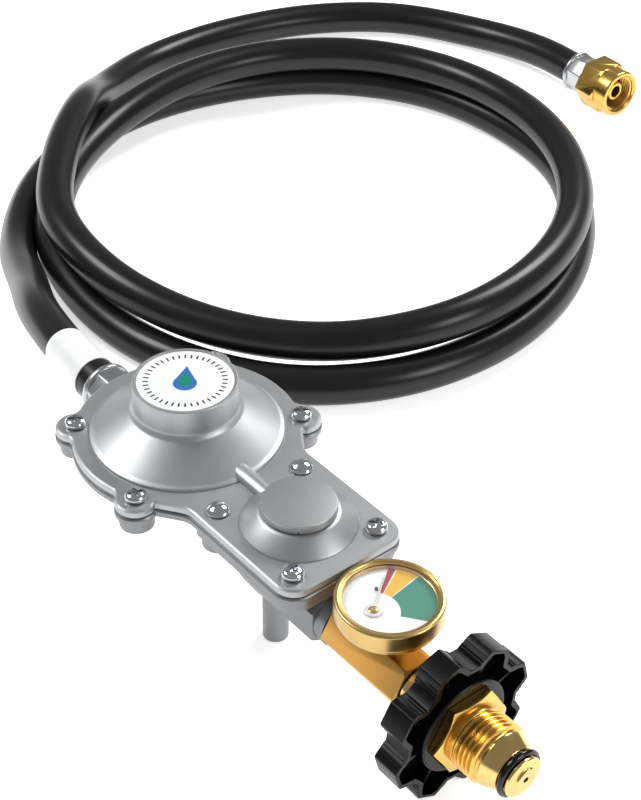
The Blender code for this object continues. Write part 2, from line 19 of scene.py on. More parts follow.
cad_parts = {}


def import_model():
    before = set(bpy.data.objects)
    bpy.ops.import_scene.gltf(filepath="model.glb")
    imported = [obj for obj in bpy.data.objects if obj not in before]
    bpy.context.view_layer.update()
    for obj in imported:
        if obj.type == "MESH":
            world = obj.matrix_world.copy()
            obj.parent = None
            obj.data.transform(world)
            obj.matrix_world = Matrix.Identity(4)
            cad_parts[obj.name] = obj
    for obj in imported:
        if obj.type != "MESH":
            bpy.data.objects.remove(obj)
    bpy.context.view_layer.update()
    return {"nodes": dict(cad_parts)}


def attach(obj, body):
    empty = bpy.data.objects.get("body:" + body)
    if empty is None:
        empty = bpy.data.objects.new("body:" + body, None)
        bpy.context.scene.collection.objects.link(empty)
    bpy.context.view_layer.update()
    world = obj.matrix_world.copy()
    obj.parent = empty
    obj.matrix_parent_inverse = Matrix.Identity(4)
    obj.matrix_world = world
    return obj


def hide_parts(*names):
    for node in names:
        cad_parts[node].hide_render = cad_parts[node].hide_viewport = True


LOG = logging.getLogger("regulator")
MM = 0.001

Point2 = tuple[float, float]
Point3 = tuple[float, float, float]
Profile = tuple[Point2, ...]


class Axis(Enum):
    """The direction that a turned piece's own axis is laid along."""

    UP = "up"
    INLET = "inlet"
    NUT = "nut"


class Operation(Enum):
    """What a Boolean does to a piece."""

    UNION = "UNION"
    DIFFERENCE = "DIFFERENCE"


# ---------------------------------------------------------------------------------------------------
# Stations shared by the sub-assemblies
# ---------------------------------------------------------------------------------------------------

BIG_X = -56.0
SMALL_X = 7.4
GAUGE_X = 53.5
INLET_Z = 28.5
OUTLET_Z = 42.0
BIG_AXIS: Point3 = (BIG_X, 0.0, 0.0)
SMALL_AXIS: Point3 = (SMALL_X, 0.0, 0.0)
GAUGE_AXIS: Point3 = (GAUGE_X, 0.0, 0.0)
INLET_AXIS: Point3 = (0.0, 0.0, INLET_Z)
OUTLET_AXIS: Point3 = (0.0, 0.0, OUTLET_Z)
NUT_FACE: Point3 = (-185.5, 370.6, 12.4)
NUT_HEADING = math.radians(-2.5)
EARS: tuple[Point2, ...] = ((-36.2, 35.9), (-82.3, 30.0))
FRONT_CORNER: Point2 = (26.3, 17.8)
COVER_SCREWS: tuple[Point2, ...] = tuple(
    (x, side * y) for x, y in (*EARS, FRONT_CORNER) for side in (1, -1))
NECK_SCREWS: tuple[Point2, ...] = ((-13.65, 17.9), (-13.65, -17.9))
POINTER_XY: Point2 = (53.4, -6.8)

# The Mix node's colour sockets go by number, because its other modes share their names
MIX_SHARE, MIX_FROM, MIX_TO, MIX_RESULT = 0, 6, 7, 2
# The Random Value node's upper limit and its result as a number, for the same reason
RANDOM_MAX, RANDOM_RESULT = 3, 1

# Two booleans' surfaces that would otherwise share their edges are turned apart by this, in radians
OFFSET_TURN = 0.1


# ---------------------------------------------------------------------------------------------------
# Colours and finishes
# ---------------------------------------------------------------------------------------------------

def linear(code: str) -> tuple[float, float, float, float]:
    """Turn an sRGB hex value into a linear colour.

    Args:
        code: Six hex digits, red first.

    Returns:
        The linear red, green and blue with an alpha of 1.
    """
    channels = [int(code[start:start + 2], 16) / 255 for start in (0, 2, 4)]
    bright = [c / 12.92 if c <= 0.04045 else ((c + 0.055) / 1.055) ** 2.4 for c in channels]
    return (bright[0], bright[1], bright[2], 1.0)


def add_node(tree: bpy.types.NodeTree, kind: str, settings: dict | None = None,
             links: dict | None = None) -> bpy.types.Node:
    """Add a node with its settings and links.

    Args:
        tree: The node tree.
        kind: The node's type.
        settings: Attribute names, or input names and numbers, with their values.
        links: Input names or numbers with the output sockets that feed them.

    Returns:
        The new node.
    """
    node = tree.nodes.new(kind)
    for key, value in (settings or {}).items():
        if isinstance(key, str) and hasattr(node, key):
            setattr(node, key, value)
        else:
            node.inputs[key].default_value = value
    for key, source in (links or {}).items():
        tree.links.new(source, node.inputs[key])
    return node


def new_material(name: str, values: dict[str, object]) -> tuple[bpy.types.Material, bpy.types.NodeTree,
                                                                bpy.types.Node]:
    """Start a material and set its shader's constant inputs.

    Args:
        name: The material's name.
        values: The shader's inputs by name.

    Returns:
        The material, its node tree and its shader.
    """
    material = bpy.data.materials.new(name)
    material.use_nodes = True
    shader = material.node_tree.nodes["Principled BSDF"]
    for key, value in values.items():
        shader.inputs[key].default_value = value
    return material, material.node_tree, shader


@dataclass(frozen=True)
class Finish:
    """A plain glossy or satin finish with fine grit and a slow change of tint.

    The roughness swings by `spread` about its middle with the grit, whose size is in millimetres.
    """

    name: str
    colour: str
    metallic: float = 0.0
    roughness: float = 0.4
    spread: float = 0.06
    grit_mm: float = 0.5
    bump: float = 0.0
    tint: str = ""
    tint_mm: float = 12.0
    stretch: Point3 = (1.0, 1.0, 1.0)
    shine: float = 0.5
    relief_mm: float = 0.1

    def build(self) -> bpy.types.Material:
        """Make the material.

        Returns:
            The finished material.
        """
        material, tree, shader = new_material(self.name, {
            "Base Color": linear(self.colour), "Metallic": self.metallic, "Specular IOR Level": self.shine})
        place = add_node(tree, "ShaderNodeTexCoord").outputs["Object"]
        scaled = add_node(tree, "ShaderNodeMapping", {"Scale": self.stretch}, {"Vector": place})
        slow = add_node(tree, "ShaderNodeTexNoise", {"Scale": 1 / (self.tint_mm * MM), "Detail": 3.0},
                        {"Vector": scaled.outputs["Vector"]})
        fine = add_node(tree, "ShaderNodeTexNoise", {"Scale": 1 / (self.grit_mm * MM), "Detail": 4.0},
                        {"Vector": scaled.outputs["Vector"]})
        gloss = add_node(tree, "ShaderNodeMapRange",
                         {"To Min": max(0.02, self.roughness - self.spread),
                          "To Max": self.roughness + self.spread}, {"Value": fine.outputs["Fac"]})
        tree.links.new(gloss.outputs["Result"], shader.inputs["Roughness"])
        if self.tint:
            mix = add_node(tree, "ShaderNodeMix", {
                "data_type": "RGBA", MIX_FROM: linear(self.colour), MIX_TO: linear(self.tint)},
                {MIX_SHARE: slow.outputs["Fac"]})
            tree.links.new(mix.outputs[MIX_RESULT], shader.inputs["Base Color"])
        if self.bump:
            relief = add_node(tree, "ShaderNodeBump",
                              {"Strength": self.bump, "Distance": self.relief_mm * MM},
                              {"Height": fine.outputs["Fac"]})
            tree.links.new(relief.outputs["Normal"], shader.inputs["Normal"])
        return material


@dataclass(frozen=True)
class HoseCover:
    """Extruded nitrile hose cover: black, half gloss, with faint draw lines along the hose."""

    name: str = "extruded_nitrile_cover"
    colour: str = "0C0C0D"
    worn: str = "161718"
    line_mm: float = 0.9
    line_stretch: float = 0.03
    relief_mm: float = 0.12
    blotch_mm: float = 25.0
    gloss: Point2 = (0.24, 0.36)

    def build(self) -> bpy.types.Material:
        """Make the material; its UV runs round the hose in U and along it in V, in metres.

        Returns:
            The finished material.
        """
        material, tree, shader = new_material(self.name, {"Specular IOR Level": 0.3})
        place = add_node(tree, "ShaderNodeUVMap", {"uv_map": "length"}).outputs["UV"]
        drawn = add_node(tree, "ShaderNodeMapping", {"Scale": (1.0, self.line_stretch, 1.0)},
                         {"Vector": place})
        lines = add_node(tree, "ShaderNodeTexNoise", {"Scale": 1 / (self.line_mm * MM), "Detail": 3.0},
                         {"Vector": drawn.outputs["Vector"]})
        blotch = add_node(tree, "ShaderNodeTexNoise", {"Scale": 1 / (self.blotch_mm * MM), "Detail": 4.0},
                          {"Vector": place})
        gloss = add_node(tree, "ShaderNodeMapRange", {"To Min": self.gloss[0], "To Max": self.gloss[1]},
                         {"Value": blotch.outputs["Fac"]})
        tone = add_node(tree, "ShaderNodeMix", {
            "data_type": "RGBA", MIX_FROM: linear(self.colour), MIX_TO: linear(self.worn)},
            {MIX_SHARE: lines.outputs["Fac"]})
        relief = add_node(tree, "ShaderNodeBump", {"Strength": 0.25, "Distance": self.relief_mm * MM},
                          {"Height": lines.outputs["Fac"]})
        tree.links.new(tone.outputs[MIX_RESULT], shader.inputs["Base Color"])
        tree.links.new(gloss.outputs["Result"], shader.inputs["Roughness"])
        tree.links.new(relief.outputs["Normal"], shader.inputs["Normal"])
        return material


@dataclass(frozen=True)
class Lens:
    """Clear polycarbonate window: nearly all of the dial shows through, with a thin gloss."""

    name: str = "clear_polycarbonate"
    opacity: float = 0.05

    def build(self) -> bpy.types.Material:
        """Make the material."""
        return new_material(self.name, {"Base Color": linear("F4F8F9"), "Roughness": 0.03,
                                        "Alpha": self.opacity})[0]


# Zinc die casting, shot-blasted: a satin, slightly mottled grey with fine grit
CASTING = Finish("blasted_zinc_casting", "B1B3B4", 0.85, 0.43, 0.07, 0.45, 0.35, "A2A4A6", 9.0)
# The lower casting is the same zinc with painted shade: its base colour is darker to stand in for the shade
# on its sides
CASTING_PAINTED_SHADE = Finish("zinc_casting_painted_shade", "8C8E90", 0.85, 0.42, 0.07, 0.5, 0.4, "7E8083", 9.0)
# Pressed zinc cap: smoother than the casting around it
CAP_METAL = Finish("pressed_zinc_cap", "A8AAAC", 0.8, 0.42, 0.04, 0.4, 0.12, "A0A2A4", 6.0)
# Bright chromium plate over steel: mirror-like, with darker pits in the recesses
CHROME = Finish("bright_chromium_plate", "DADCDE", 1.0, 0.12, 0.04, 0.8, 0.05, "C6C8CB", 3.0)
# Turned free-cutting brass: warm, with lathe marks across the axis
BRASS = Finish("turned_brass", "E0B868", 1.0, 0.24, 0.06, 0.6, 0.10, "D0A450", 5.0, (6.0, 1.0, 1.0))
# Polished brass of the nose, which slides into the tank valve: paler and brighter
BRASS_PALE = Finish("polished_brass", "E4C684", 1.0, 0.17, 0.05, 0.6, 0.08, "D6B36B", 5.0, (6.0, 1.0, 1.0))
# Drawn hexagon brass bar: satin, with draw lines along the bar
BRASS_BAR = Finish("drawn_brass_bar", "C79A55", 1.0, 0.30, 0.06, 0.5, 0.12, "B98843", 8.0,
                   (0.15, 1.0, 1.0))
# Spun and lacquered brass of the gauge: paler, with a soft sheen
BRASS_SPUN = Finish("lacquered_spun_brass", "D2B67C", 1.0, 0.30, 0.05, 0.5, 0.06, "BD9C5C", 6.0)
# Nickel-plated crimp sleeves: bright satin, never fully mirror-like
NICKEL = Finish("satin_nickel_plate", "B9BBBD", 1.0, 0.30, 0.06, 0.6, 0.10, "A9ABAE", 5.0)
# Plain bright steel inside the regulator
STEEL = Finish("bright_spring_steel", "A8AAAD", 1.0, 0.25, 0.05, 0.6, 0.08, "96989B", 4.0)
# Glossy moulded ABS: deep black with a fine moulding texture
WHEEL_ABS = Finish("glossy_black_abs", "050506", 0.0, 0.30, 0.06, 0.6, 0.10, "09090B", 8.0, shine=0.2)
# Nitrile O-ring, oiled: black and very glossy
ORING = Finish("oiled_nitrile_ring", "030303", 0.0, 0.14, 0.04, 0.8, 0.05, "060606", 4.0, shine=0.4)
# Fabric-reinforced diaphragm rubber: matt black
DIAPHRAGM = Finish("reinforced_diaphragm_rubber", "1B1B1C", 0.0, 0.60, 0.05, 0.7, 0.25, "242425", 4.0)
# White vinyl film: matt, very slightly uneven
VINYL = Finish("white_vinyl_film", "EDEEEE", 0.0, 0.42, 0.06, 1.5, 0.06, "E3E5E5", 8.0)
# Silver-painted pointer: pale and satin
POINTER_SILVER = Finish("silver_painted_pointer", "E2E3E4", 0.3, 0.42, 0.04, 0.6, 0.03, "D8D9DA", 3.0)
# White baked enamel on the dial plate
DIAL_WHITE = Finish("white_dial_enamel", "FAFAF9", 0.0, 0.40, 0.04, 0.8, 0.0, "F5F5F4", 6.0)
# Screen-printed inks on the dial
INK_RED = Finish("red_screen_ink", "A0101A", 0.0, 0.45, 0.04, 0.5, 0.05, "960D17", 4.0, shine=0.25)
INK_YELLOW = Finish("yellow_screen_ink", "E8B800", 0.0, 0.45, 0.04, 0.5, 0.05, "E0AE00", 4.0, shine=0.25)
INK_GREEN = Finish("green_screen_ink", "15876E", 0.0, 0.45, 0.04, 0.5, 0.05, "117D64", 4.0, shine=0.25)
INK_BLUE = Finish("blue_screen_ink", "2F6DB5", 0.0, 0.45, 0.04, 0.5, 0.05, "2963A8", 4.0)
INK_BLACK = Finish("black_screen_ink", "151515", 0.0, 0.45, 0.04, 0.5, 0.05, "1C1C1C", 4.0)


class Workshop:
    """Keeps the materials that are already made."""

    def __init__(self) -> None:
        """Start with an empty shelf."""
        self.shelf: dict[str, bpy.types.Material] = {}

    def material(self, finish: Finish | HoseCover | Lens) -> bpy.types.Material:
        """Give the material of a finish, making it once.

        Args:
            finish: The finish.

        Returns:
            Its material.
        """
        if finish.name not in self.shelf:
            self.shelf[finish.name] = finish.build()
        return self.shelf[finish.name]


SHOP = Workshop()


# ---------------------------------------------------------------------------------------------------
# Outlines and meshes
# ---------------------------------------------------------------------------------------------------

def arc(x: float, y: float, radius: float, first: float, last: float, count: int) -> list[Point2]:
    """Points of an arc.

    Args:
        x: The centre's first coordinate.
        y: The centre's second coordinate.
        radius: The radius.
        first: The first angle, in degrees.
        last: The last angle, in degrees.
        count: How many steps lie between them.

    Returns:
        The points, one more than the steps.
    """
    angles = [math.radians(first + (last - first) * step / count) for step in range(count + 1)]
    return [(x + radius * math.cos(angle), y + radius * math.sin(angle)) for angle in angles]


def eased(points: Sequence[Point2], radius: float, closed: bool, steps: int = 3) -> list[Point2]:
    """Round the corners of an outline or a profile.

    Args:
        points: The corners.
        radius: How far along each edge a corner's rounding reaches at most.
        closed: Whether the last point joins the first.
        steps: How many steps round a corner.

    Returns:
        The rounded points.
    """
    corners = [Vector(point) for point in points]
    count = len(corners)
    result: list[Point2] = []
    for index, corner in enumerate(corners):
        if not closed and index in (0, count - 1):
            result.append(tuple(corner))
            continue
        before = corners[index - 1] - corner
        after = corners[(index + 1) % count] - corner
        reach = min(radius, 0.45 * before.length, 0.45 * after.length)
        if reach < 0.01 or before.angle(after, math.pi) > math.radians(172):
            result.append(tuple(corner))
            continue
        start = corner + before.normalized() * reach
        end = corner + after.normalized() * reach
        for step in range(steps + 1):
            share = step / steps
            near = start.lerp(corner, share)
            far = corner.lerp(end, share)
            result.append(tuple(near.lerp(far, share)))
    return result


def facing(axis: Axis) -> Matrix:
    """The rotation that lays the local Z axis along an axis of the part.

    Args:
        axis: The direction.

    Returns:
        The rotation.
    """
    if axis is Axis.INLET:
        return Matrix.Rotation(math.pi / 2, 4, "Y")
    if axis is Axis.NUT:
        return Matrix.Rotation(NUT_HEADING, 4, "Z") @ Matrix.Rotation(math.pi / 2, 4, "Y")
    return Matrix.Identity(4)


def as_object(shape: bmesh.types.BMesh, name: str, sharp: float = 32.0) -> bpy.types.Object:
    """Write a bmesh in millimetres to a linked object at the origin, in metres.

    Args:
        shape: The bmesh, which is freed.
        name: The object's name.
        sharp: Edges that turn by more than this many degrees stay sharp.

    Returns:
        The object.
    """
    mesh = bpy.data.meshes.new(name)
    bmesh.ops.scale(shape, vec=(MM, MM, MM), verts=shape.verts)
    shape.to_mesh(mesh)
    shape.free()
    item = bpy.data.objects.new(name, mesh)
    bpy.context.scene.collection.objects.link(item)
    smooth(item, sharp)
    return item


def smooth(item: bpy.types.Object, sharp: float = 32.0) -> None:
    """Shade a piece smooth with its sharp edges kept.

    Args:
        item: The piece.
        sharp: The angle in degrees past which an edge stays sharp.
    """
    item.data.shade_smooth()
    item.data.set_sharp_from_angle(angle=math.radians(sharp))


def turned(name: str, profile: Sequence[Point2], centre: Point3, axis: Axis = Axis.UP, steps: int = 96,
           turn: float = 0.0, ease: float = 0.3) -> bpy.types.Object:
    """Turn a profile of (radius, station) points, top to bottom on its outer side.

    Args:
        name: The object's name.
        profile: The points; a ring's profile closes on itself.
        centre: A point on the axis.
        axis: The axis.
        steps: How many faces go round.
        turn: A turn about the piece's own axis.
        ease: The rounding of the profile's corners.

    Returns:
        The piece.
    """
    ring = profile[0][0] > 0
    outline = eased(profile, ease, ring) if ease else list(profile)
    shape = bmesh.new()
    columns = []
    for radius, station in outline:
        if radius < 1e-6:
            columns.append([shape.verts.new((0, 0, station))] * steps)
            continue
        columns.append([shape.verts.new((radius * math.cos(math.tau * step / steps),
                                         radius * math.sin(math.tau * step / steps), station))
                        for step in range(steps)])
    pairs = list(zip(columns, columns[1:]))
    if ring:
        pairs.append((columns[-1], columns[0]))
    for upper, lower in pairs:
        for step in range(steps):
            after = (step + 1) % steps
            loop = [upper[step], lower[step], lower[after], upper[after]]
            unique = [vert for index, vert in enumerate(loop) if vert not in loop[:index]]
            if len(unique) > 2:
                shape.faces.new(unique)
    matrix = Matrix.Translation(centre) @ facing(axis) @ Matrix.Rotation(turn, 4, "Z")
    bmesh.ops.transform(shape, matrix=matrix, verts=shape.verts)
    return as_object(shape, name)


def rod(name: str, radius: float, low: float, high: float, centre: Point3, axis: Axis = Axis.UP,
        steps: int = 48, turn: float = 0.0, ease: float = 0.0) -> bpy.types.Object:
    """A plain cylinder between two stations.

    Args:
        name: The object's name.
        radius: The radius.
        low: The lower station.
        high: The upper station.
        centre: A point on the axis.
        axis: The axis.
        steps: How many faces go round.
        turn: A turn about its own axis.
        ease: The rounding of its rims.

    Returns:
        The piece.
    """
    profile = ((0, high), (radius, high), (radius, low), (0, low))
    return turned(name, profile, centre, axis, steps, turn, ease)


def block(name: str, low: Point3, high: Point3) -> bpy.types.Object:
    """A box between two corners.

    Args:
        name: The object's name.
        low: The lowest corner.
        high: The highest corner.

    Returns:
        The piece.
    """
    shape = bmesh.new()
    size = Vector(high) - Vector(low)
    middle = (Vector(high) + Vector(low)) / 2
    bmesh.ops.create_cube(shape, size=1.0, matrix=Matrix.Translation(middle) @ Matrix.Diagonal((*size, 1)))
    return as_object(shape, name)


def inset(outline: Sequence[Point2], distance: float) -> list[Point2]:
    """Move a closed outline inwards.

    Args:
        outline: The points, anticlockwise.
        distance: How far they move in; a negative distance grows the outline.

    Returns:
        The moved points.
    """
    moved = []
    count = len(outline)
    for index in range(count):
        here = Vector(outline[index])
        before = (here - Vector(outline[index - 1])).normalized()
        after = (Vector(outline[(index + 1) % count]) - here).normalized()
        normal = Vector((-(before.y + after.y), before.x + after.x))
        if normal.length < 1e-9:
            moved.append(tuple(here))
            continue
        normal.normalize()
        spread = max(0.5, normal.dot(Vector((-before.y, before.x))))
        moved.append(tuple(here + normal * distance / spread))
    return moved


def stacked(name: str, outline: Sequence[Point2], levels: Sequence[Point2],
            matrix: Matrix | None = None) -> bpy.types.Object:
    """A slab of one outline whose edge follows (inset, height) levels from the bottom up.

    Args:
        name: The object's name.
        outline: The outline, anticlockwise.
        levels: How far in the outline lies at each height.
        matrix: Where the slab goes, in millimetres.

    Returns:
        The piece.
    """
    shape = bmesh.new()
    rows = [[shape.verts.new((x, y, height)) for x, y in inset(outline, depth)]
            for depth, height in levels]
    count = len(outline)
    for lower, upper in zip(rows, rows[1:]):
        for index in range(count):
            after = (index + 1) % count
            shape.faces.new((lower[index], lower[after], upper[after], upper[index]))
    shape.faces.new(list(reversed(rows[0])))
    shape.faces.new(rows[-1])
    if matrix is not None:
        bmesh.ops.transform(shape, matrix=matrix, verts=shape.verts)
    return as_object(shape, name)


def combine(item: bpy.types.Object, tools: Sequence[bpy.types.Object], operation: Operation) -> None:
    """Apply one Boolean with a group of tools, which are used up.

    Args:
        item: The piece that stays.
        tools: The pieces that are joined to it or cut out of it.
        operation: What is done.
    """
    group = bpy.data.collections.new("tools")
    bpy.context.scene.collection.children.link(group)
    for tool in tools:
        group.objects.link(tool)
    boolean = item.modifiers.new("tool", "BOOLEAN")
    boolean.operation = operation.value
    boolean.solver = "EXACT"
    boolean.operand_type = "COLLECTION"
    boolean.collection = group
    bake(item)
    for tool in tools:
        bpy.data.objects.remove(tool, do_unlink=True)
    bpy.data.collections.remove(group)
    smooth(item)


def bake(item: bpy.types.Object) -> None:
    """Turn a piece's modifiers into its mesh.

    Args:
        item: The piece.
    """
    bpy.context.view_layer.update()
    mesh = bpy.data.meshes.new_from_object(item.evaluated_get(bpy.context.evaluated_depsgraph_get()))
    item.modifiers.clear()
    item.data = mesh


def add(item: bpy.types.Object, *tools: bpy.types.Object) -> None:
    """Join tools to a piece."""
    combine(item, tools, Operation.UNION)


def cut(item: bpy.types.Object, *tools: bpy.types.Object) -> None:
    """Cut tools out of a piece."""
    combine(item, tools, Operation.DIFFERENCE)


def merge(name: str, pieces: Sequence[bpy.types.Object]) -> bpy.types.Object:
    """Gather separate meshes in one object.

    Args:
        name: The object's name.
        pieces: The pieces, which are used up.

    Returns:
        The object.
    """
    shape = bmesh.new()
    for piece in pieces:
        shape.from_mesh(piece.data)
        bpy.data.objects.remove(piece, do_unlink=True)
    bmesh.ops.scale(shape, vec=(1 / MM, 1 / MM, 1 / MM), verts=shape.verts)
    return as_object(shape, name)


def dress(item: bpy.types.Object, finish: Finish | HoseCover | Lens, body: str,
          nodes: Sequence[str] = ()) -> bpy.types.Object:
    """Give a piece its finish, its body and the solids that it stands for.

    Args:
        item: The piece.
        finish: Its finish.
        body: The body it rides on.
        nodes: The solids it replaces.

    Returns:
        The piece.
    """
    item.data.materials.clear()
    item.data.materials.append(SHOP.material(finish))
    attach(item, body)
    if nodes:
        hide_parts(*nodes)
    LOG.info("%s rides on %s with %d faces", item.name, body, len(item.data.polygons))
    return item


def helix(name: str, radius: float, depth: float, pitch: float, low: float, high: float, centre: Point3,
          axis: Axis, inward: bool = False, steps: int = 64) -> bpy.types.Object:
    """A left-handed thread as one closed V-shaped ridge along a helix.

    Args:
        name: The object's name.
        radius: The radius at the ridge's foot.
        depth: How far the ridge stands out.
        pitch: The thread's pitch.
        low: The first station.
        high: The last station.
        centre: A point on the axis.
        axis: The axis.
        inward: Whether the ridge points towards the axis.
        steps: How many steps there are in a turn.

    Returns:
        The ridge.
    """
    shape = bmesh.new()
    sign = -1 if inward else 1
    total = int((high - low) / pitch * steps)
    rows = []
    for step in range(total + 1):
        angle = -math.tau * step / steps
        station = low + pitch * step / steps
        fade = min(1.0, step / 12, (total - step) / 12)
        crest = radius + sign * depth * max(0.05, fade)
        foot = radius - sign * 0.25
        half = 0.46 * pitch
        flat = 0.07 * pitch
        section = ((foot, -half), (crest, -flat), (crest, flat), (foot, half))
        rows.append([shape.verts.new((r * math.cos(angle), r * math.sin(angle), station + z))
                     for r, z in section])
    for before, after in zip(rows, rows[1:]):
        for corner in range(4):
            other = (corner + 1) % 4
            shape.faces.new((before[corner], before[other], after[other], after[corner]))
    shape.faces.new(rows[0][::-1])
    shape.faces.new(rows[-1])
    bmesh.ops.recalc_face_normals(shape, faces=shape.faces)
    bmesh.ops.transform(shape, matrix=Matrix.Translation(centre) @ facing(axis), verts=shape.verts)
    return as_object(shape, name, 50)


def corner_radius(flats: float, sides: int) -> float:
    """The radius at the corners of a regular bar, from its width across the flats."""
    return flats / 2 / math.cos(math.pi / sides)


def bevelled_bar(name: str, flats: float, sides: int, low: float, high: float, centre: Point3, axis: Axis,
                 turn: float, width: float, segments: int = 2) -> bpy.types.Object:
    """A regular bar with its edges broken.

    Args:
        name: The object's name.
        flats: The width across the flats.
        sides: How many flats there are.
        low: The lower station.
        high: The upper station.
        centre: A point on the axis.
        axis: The axis.
        turn: A turn about its own axis.
        width: The width of the broken edge.
        segments: How many faces the broken edge has.

    Returns:
        The bar.
    """
    bar = rod(name, corner_radius(flats, sides), low, high, centre, axis, sides, turn)
    bevel = bar.modifiers.new("edges", "BEVEL")
    bevel.width = width * MM
    bevel.segments = segments
    bake(bar)
    return bar


def crimped_sleeve(name: str, centre: Point3, axis: Axis, low: float, high: float, end: float,
                   bore: float) -> bpy.types.Object:
    """A hose sleeve pressed to eight flats, with a round collar at the hose's end.

    Args:
        name: The object's name.
        centre: A point on the axis.
        axis: The axis.
        low: Where the flats stop and the collar starts.
        high: The front end.
        end: The hose's end of the collar.
        bore: The radius of the bore.

    Returns:
        The sleeve.
    """
    sleeve = bevelled_bar(name, 18.8, 8, low, high - 0.05, centre, axis, math.pi / 8, 0.5, 3)
    collar = ((0, low + 0.4), (9.9, low + 0.2), (10.4, low - 0.5), (10.4, end + 0.7), (10.0, end), (0, end))
    add(sleeve, turned("collar", collar, centre, axis, 96, ease=0.35))
    hollow = ((0, high + 1), (6.9, high + 1), (6.9, high - 1.3), (bore, high - 1.3), (bore, end + 1.1),
              (8.6, end - 0.5), (0, end - 0.5))
    cut(sleeve, turned("hollow", hollow, centre, axis, 72, ease=0))
    return sleeve


# ---------------------------------------------------------------------------------------------------
# Geometry Nodes
# ---------------------------------------------------------------------------------------------------

@dataclass
class Repeater:
    """A Geometry Nodes tree that sets a copy of one piece on every point of a mesh."""

    name: str
    seed: int = 3


    def tree(self) -> bpy.types.NodeTree:
        """Build the tree.

        Returns:
            The node group, with inputs for the points, the piece, the turn and the material.
        """
        group = bpy.data.node_groups.new(self.name, "GeometryNodeTree")
        face = group.interface
        face.new_socket("Points", in_out="INPUT", socket_type="NodeSocketGeometry")
        face.new_socket("Piece", in_out="INPUT", socket_type="NodeSocketObject")
        face.new_socket("Largest Turn", in_out="INPUT", socket_type="NodeSocketFloat")
        face.new_socket("Turn Step", in_out="INPUT", socket_type="NodeSocketFloat")
        face.new_socket("Finish", in_out="INPUT", socket_type="NodeSocketMaterial")
        face.new_socket("Geometry", in_out="OUTPUT", socket_type="NodeSocketGeometry")
        given = add_node(group, "NodeGroupInput")
        source = add_node(group, "GeometryNodeObjectInfo", links={"Object": given.outputs["Piece"]})
        turn = add_node(group, "FunctionNodeRandomValue", {"data_type": "FLOAT", "Seed": self.seed},
                        {RANDOM_MAX: given.outputs["Largest Turn"]})
        index = add_node(group, "GeometryNodeInputIndex")
        whole = add_node(group, "ShaderNodeMath", {"operation": "MULTIPLY_ADD"}, {
            0: index.outputs["Index"], 1: given.outputs["Turn Step"], 2: turn.outputs[RANDOM_RESULT]})
        angles = add_node(group, "ShaderNodeCombineXYZ", links={"Z": whole.outputs[0]})
        copies = add_node(group, "GeometryNodeInstanceOnPoints", links={
            "Points": given.outputs["Points"], "Instance": source.outputs["Geometry"],
            "Rotation": angles.outputs["Vector"]})
        solid = add_node(group, "GeometryNodeRealizeInstances", links={
            "Geometry": copies.outputs["Instances"]})
        dressed = add_node(group, "GeometryNodeSetMaterial", links={
            "Geometry": solid.outputs["Geometry"], "Material": given.outputs["Finish"]})
        add_node(group, "NodeGroupOutput", links={"Geometry": dressed.outputs["Geometry"]})
        return group

    def place(self, piece: bpy.types.Object, spots: Sequence[Point3], finish: Finish,
              largest_turn: float = 0.0, turn_step: float = 0.0) -> bpy.types.Object:
        """Set the copies and turn them into a plain mesh.

        Args:
            piece: The piece to copy, modelled at the origin, which is used up.
            spots: Where the copies stand.
            finish: Their finish.
            largest_turn: The largest random turn about the upright axis.
            turn_step: How much further each copy turns than the one before.

        Returns:
            One object with every copy.
        """
        shape = bmesh.new()
        for spot in spots:
            shape.verts.new(spot)
        holder = as_object(shape, self.name)
        group = self.tree()
        modifier = holder.modifiers.new("copies", "NODES")
        modifier.node_group = group
        values = {"Piece": piece, "Largest Turn": largest_turn, "Turn Step": turn_step,
                  "Finish": SHOP.material(finish)}
        for socket in group.interface.items_tree:
            if socket.name in values and socket.in_out == "INPUT":
                modifier[socket.identifier] = values[socket.name]
        bake(holder)
        bpy.data.objects.remove(piece, do_unlink=True)
        smooth(holder)
        return holder


# ---------------------------------------------------------------------------------------------------
# Sub-assemblies
# ---------------------------------------------------------------------------------------------------

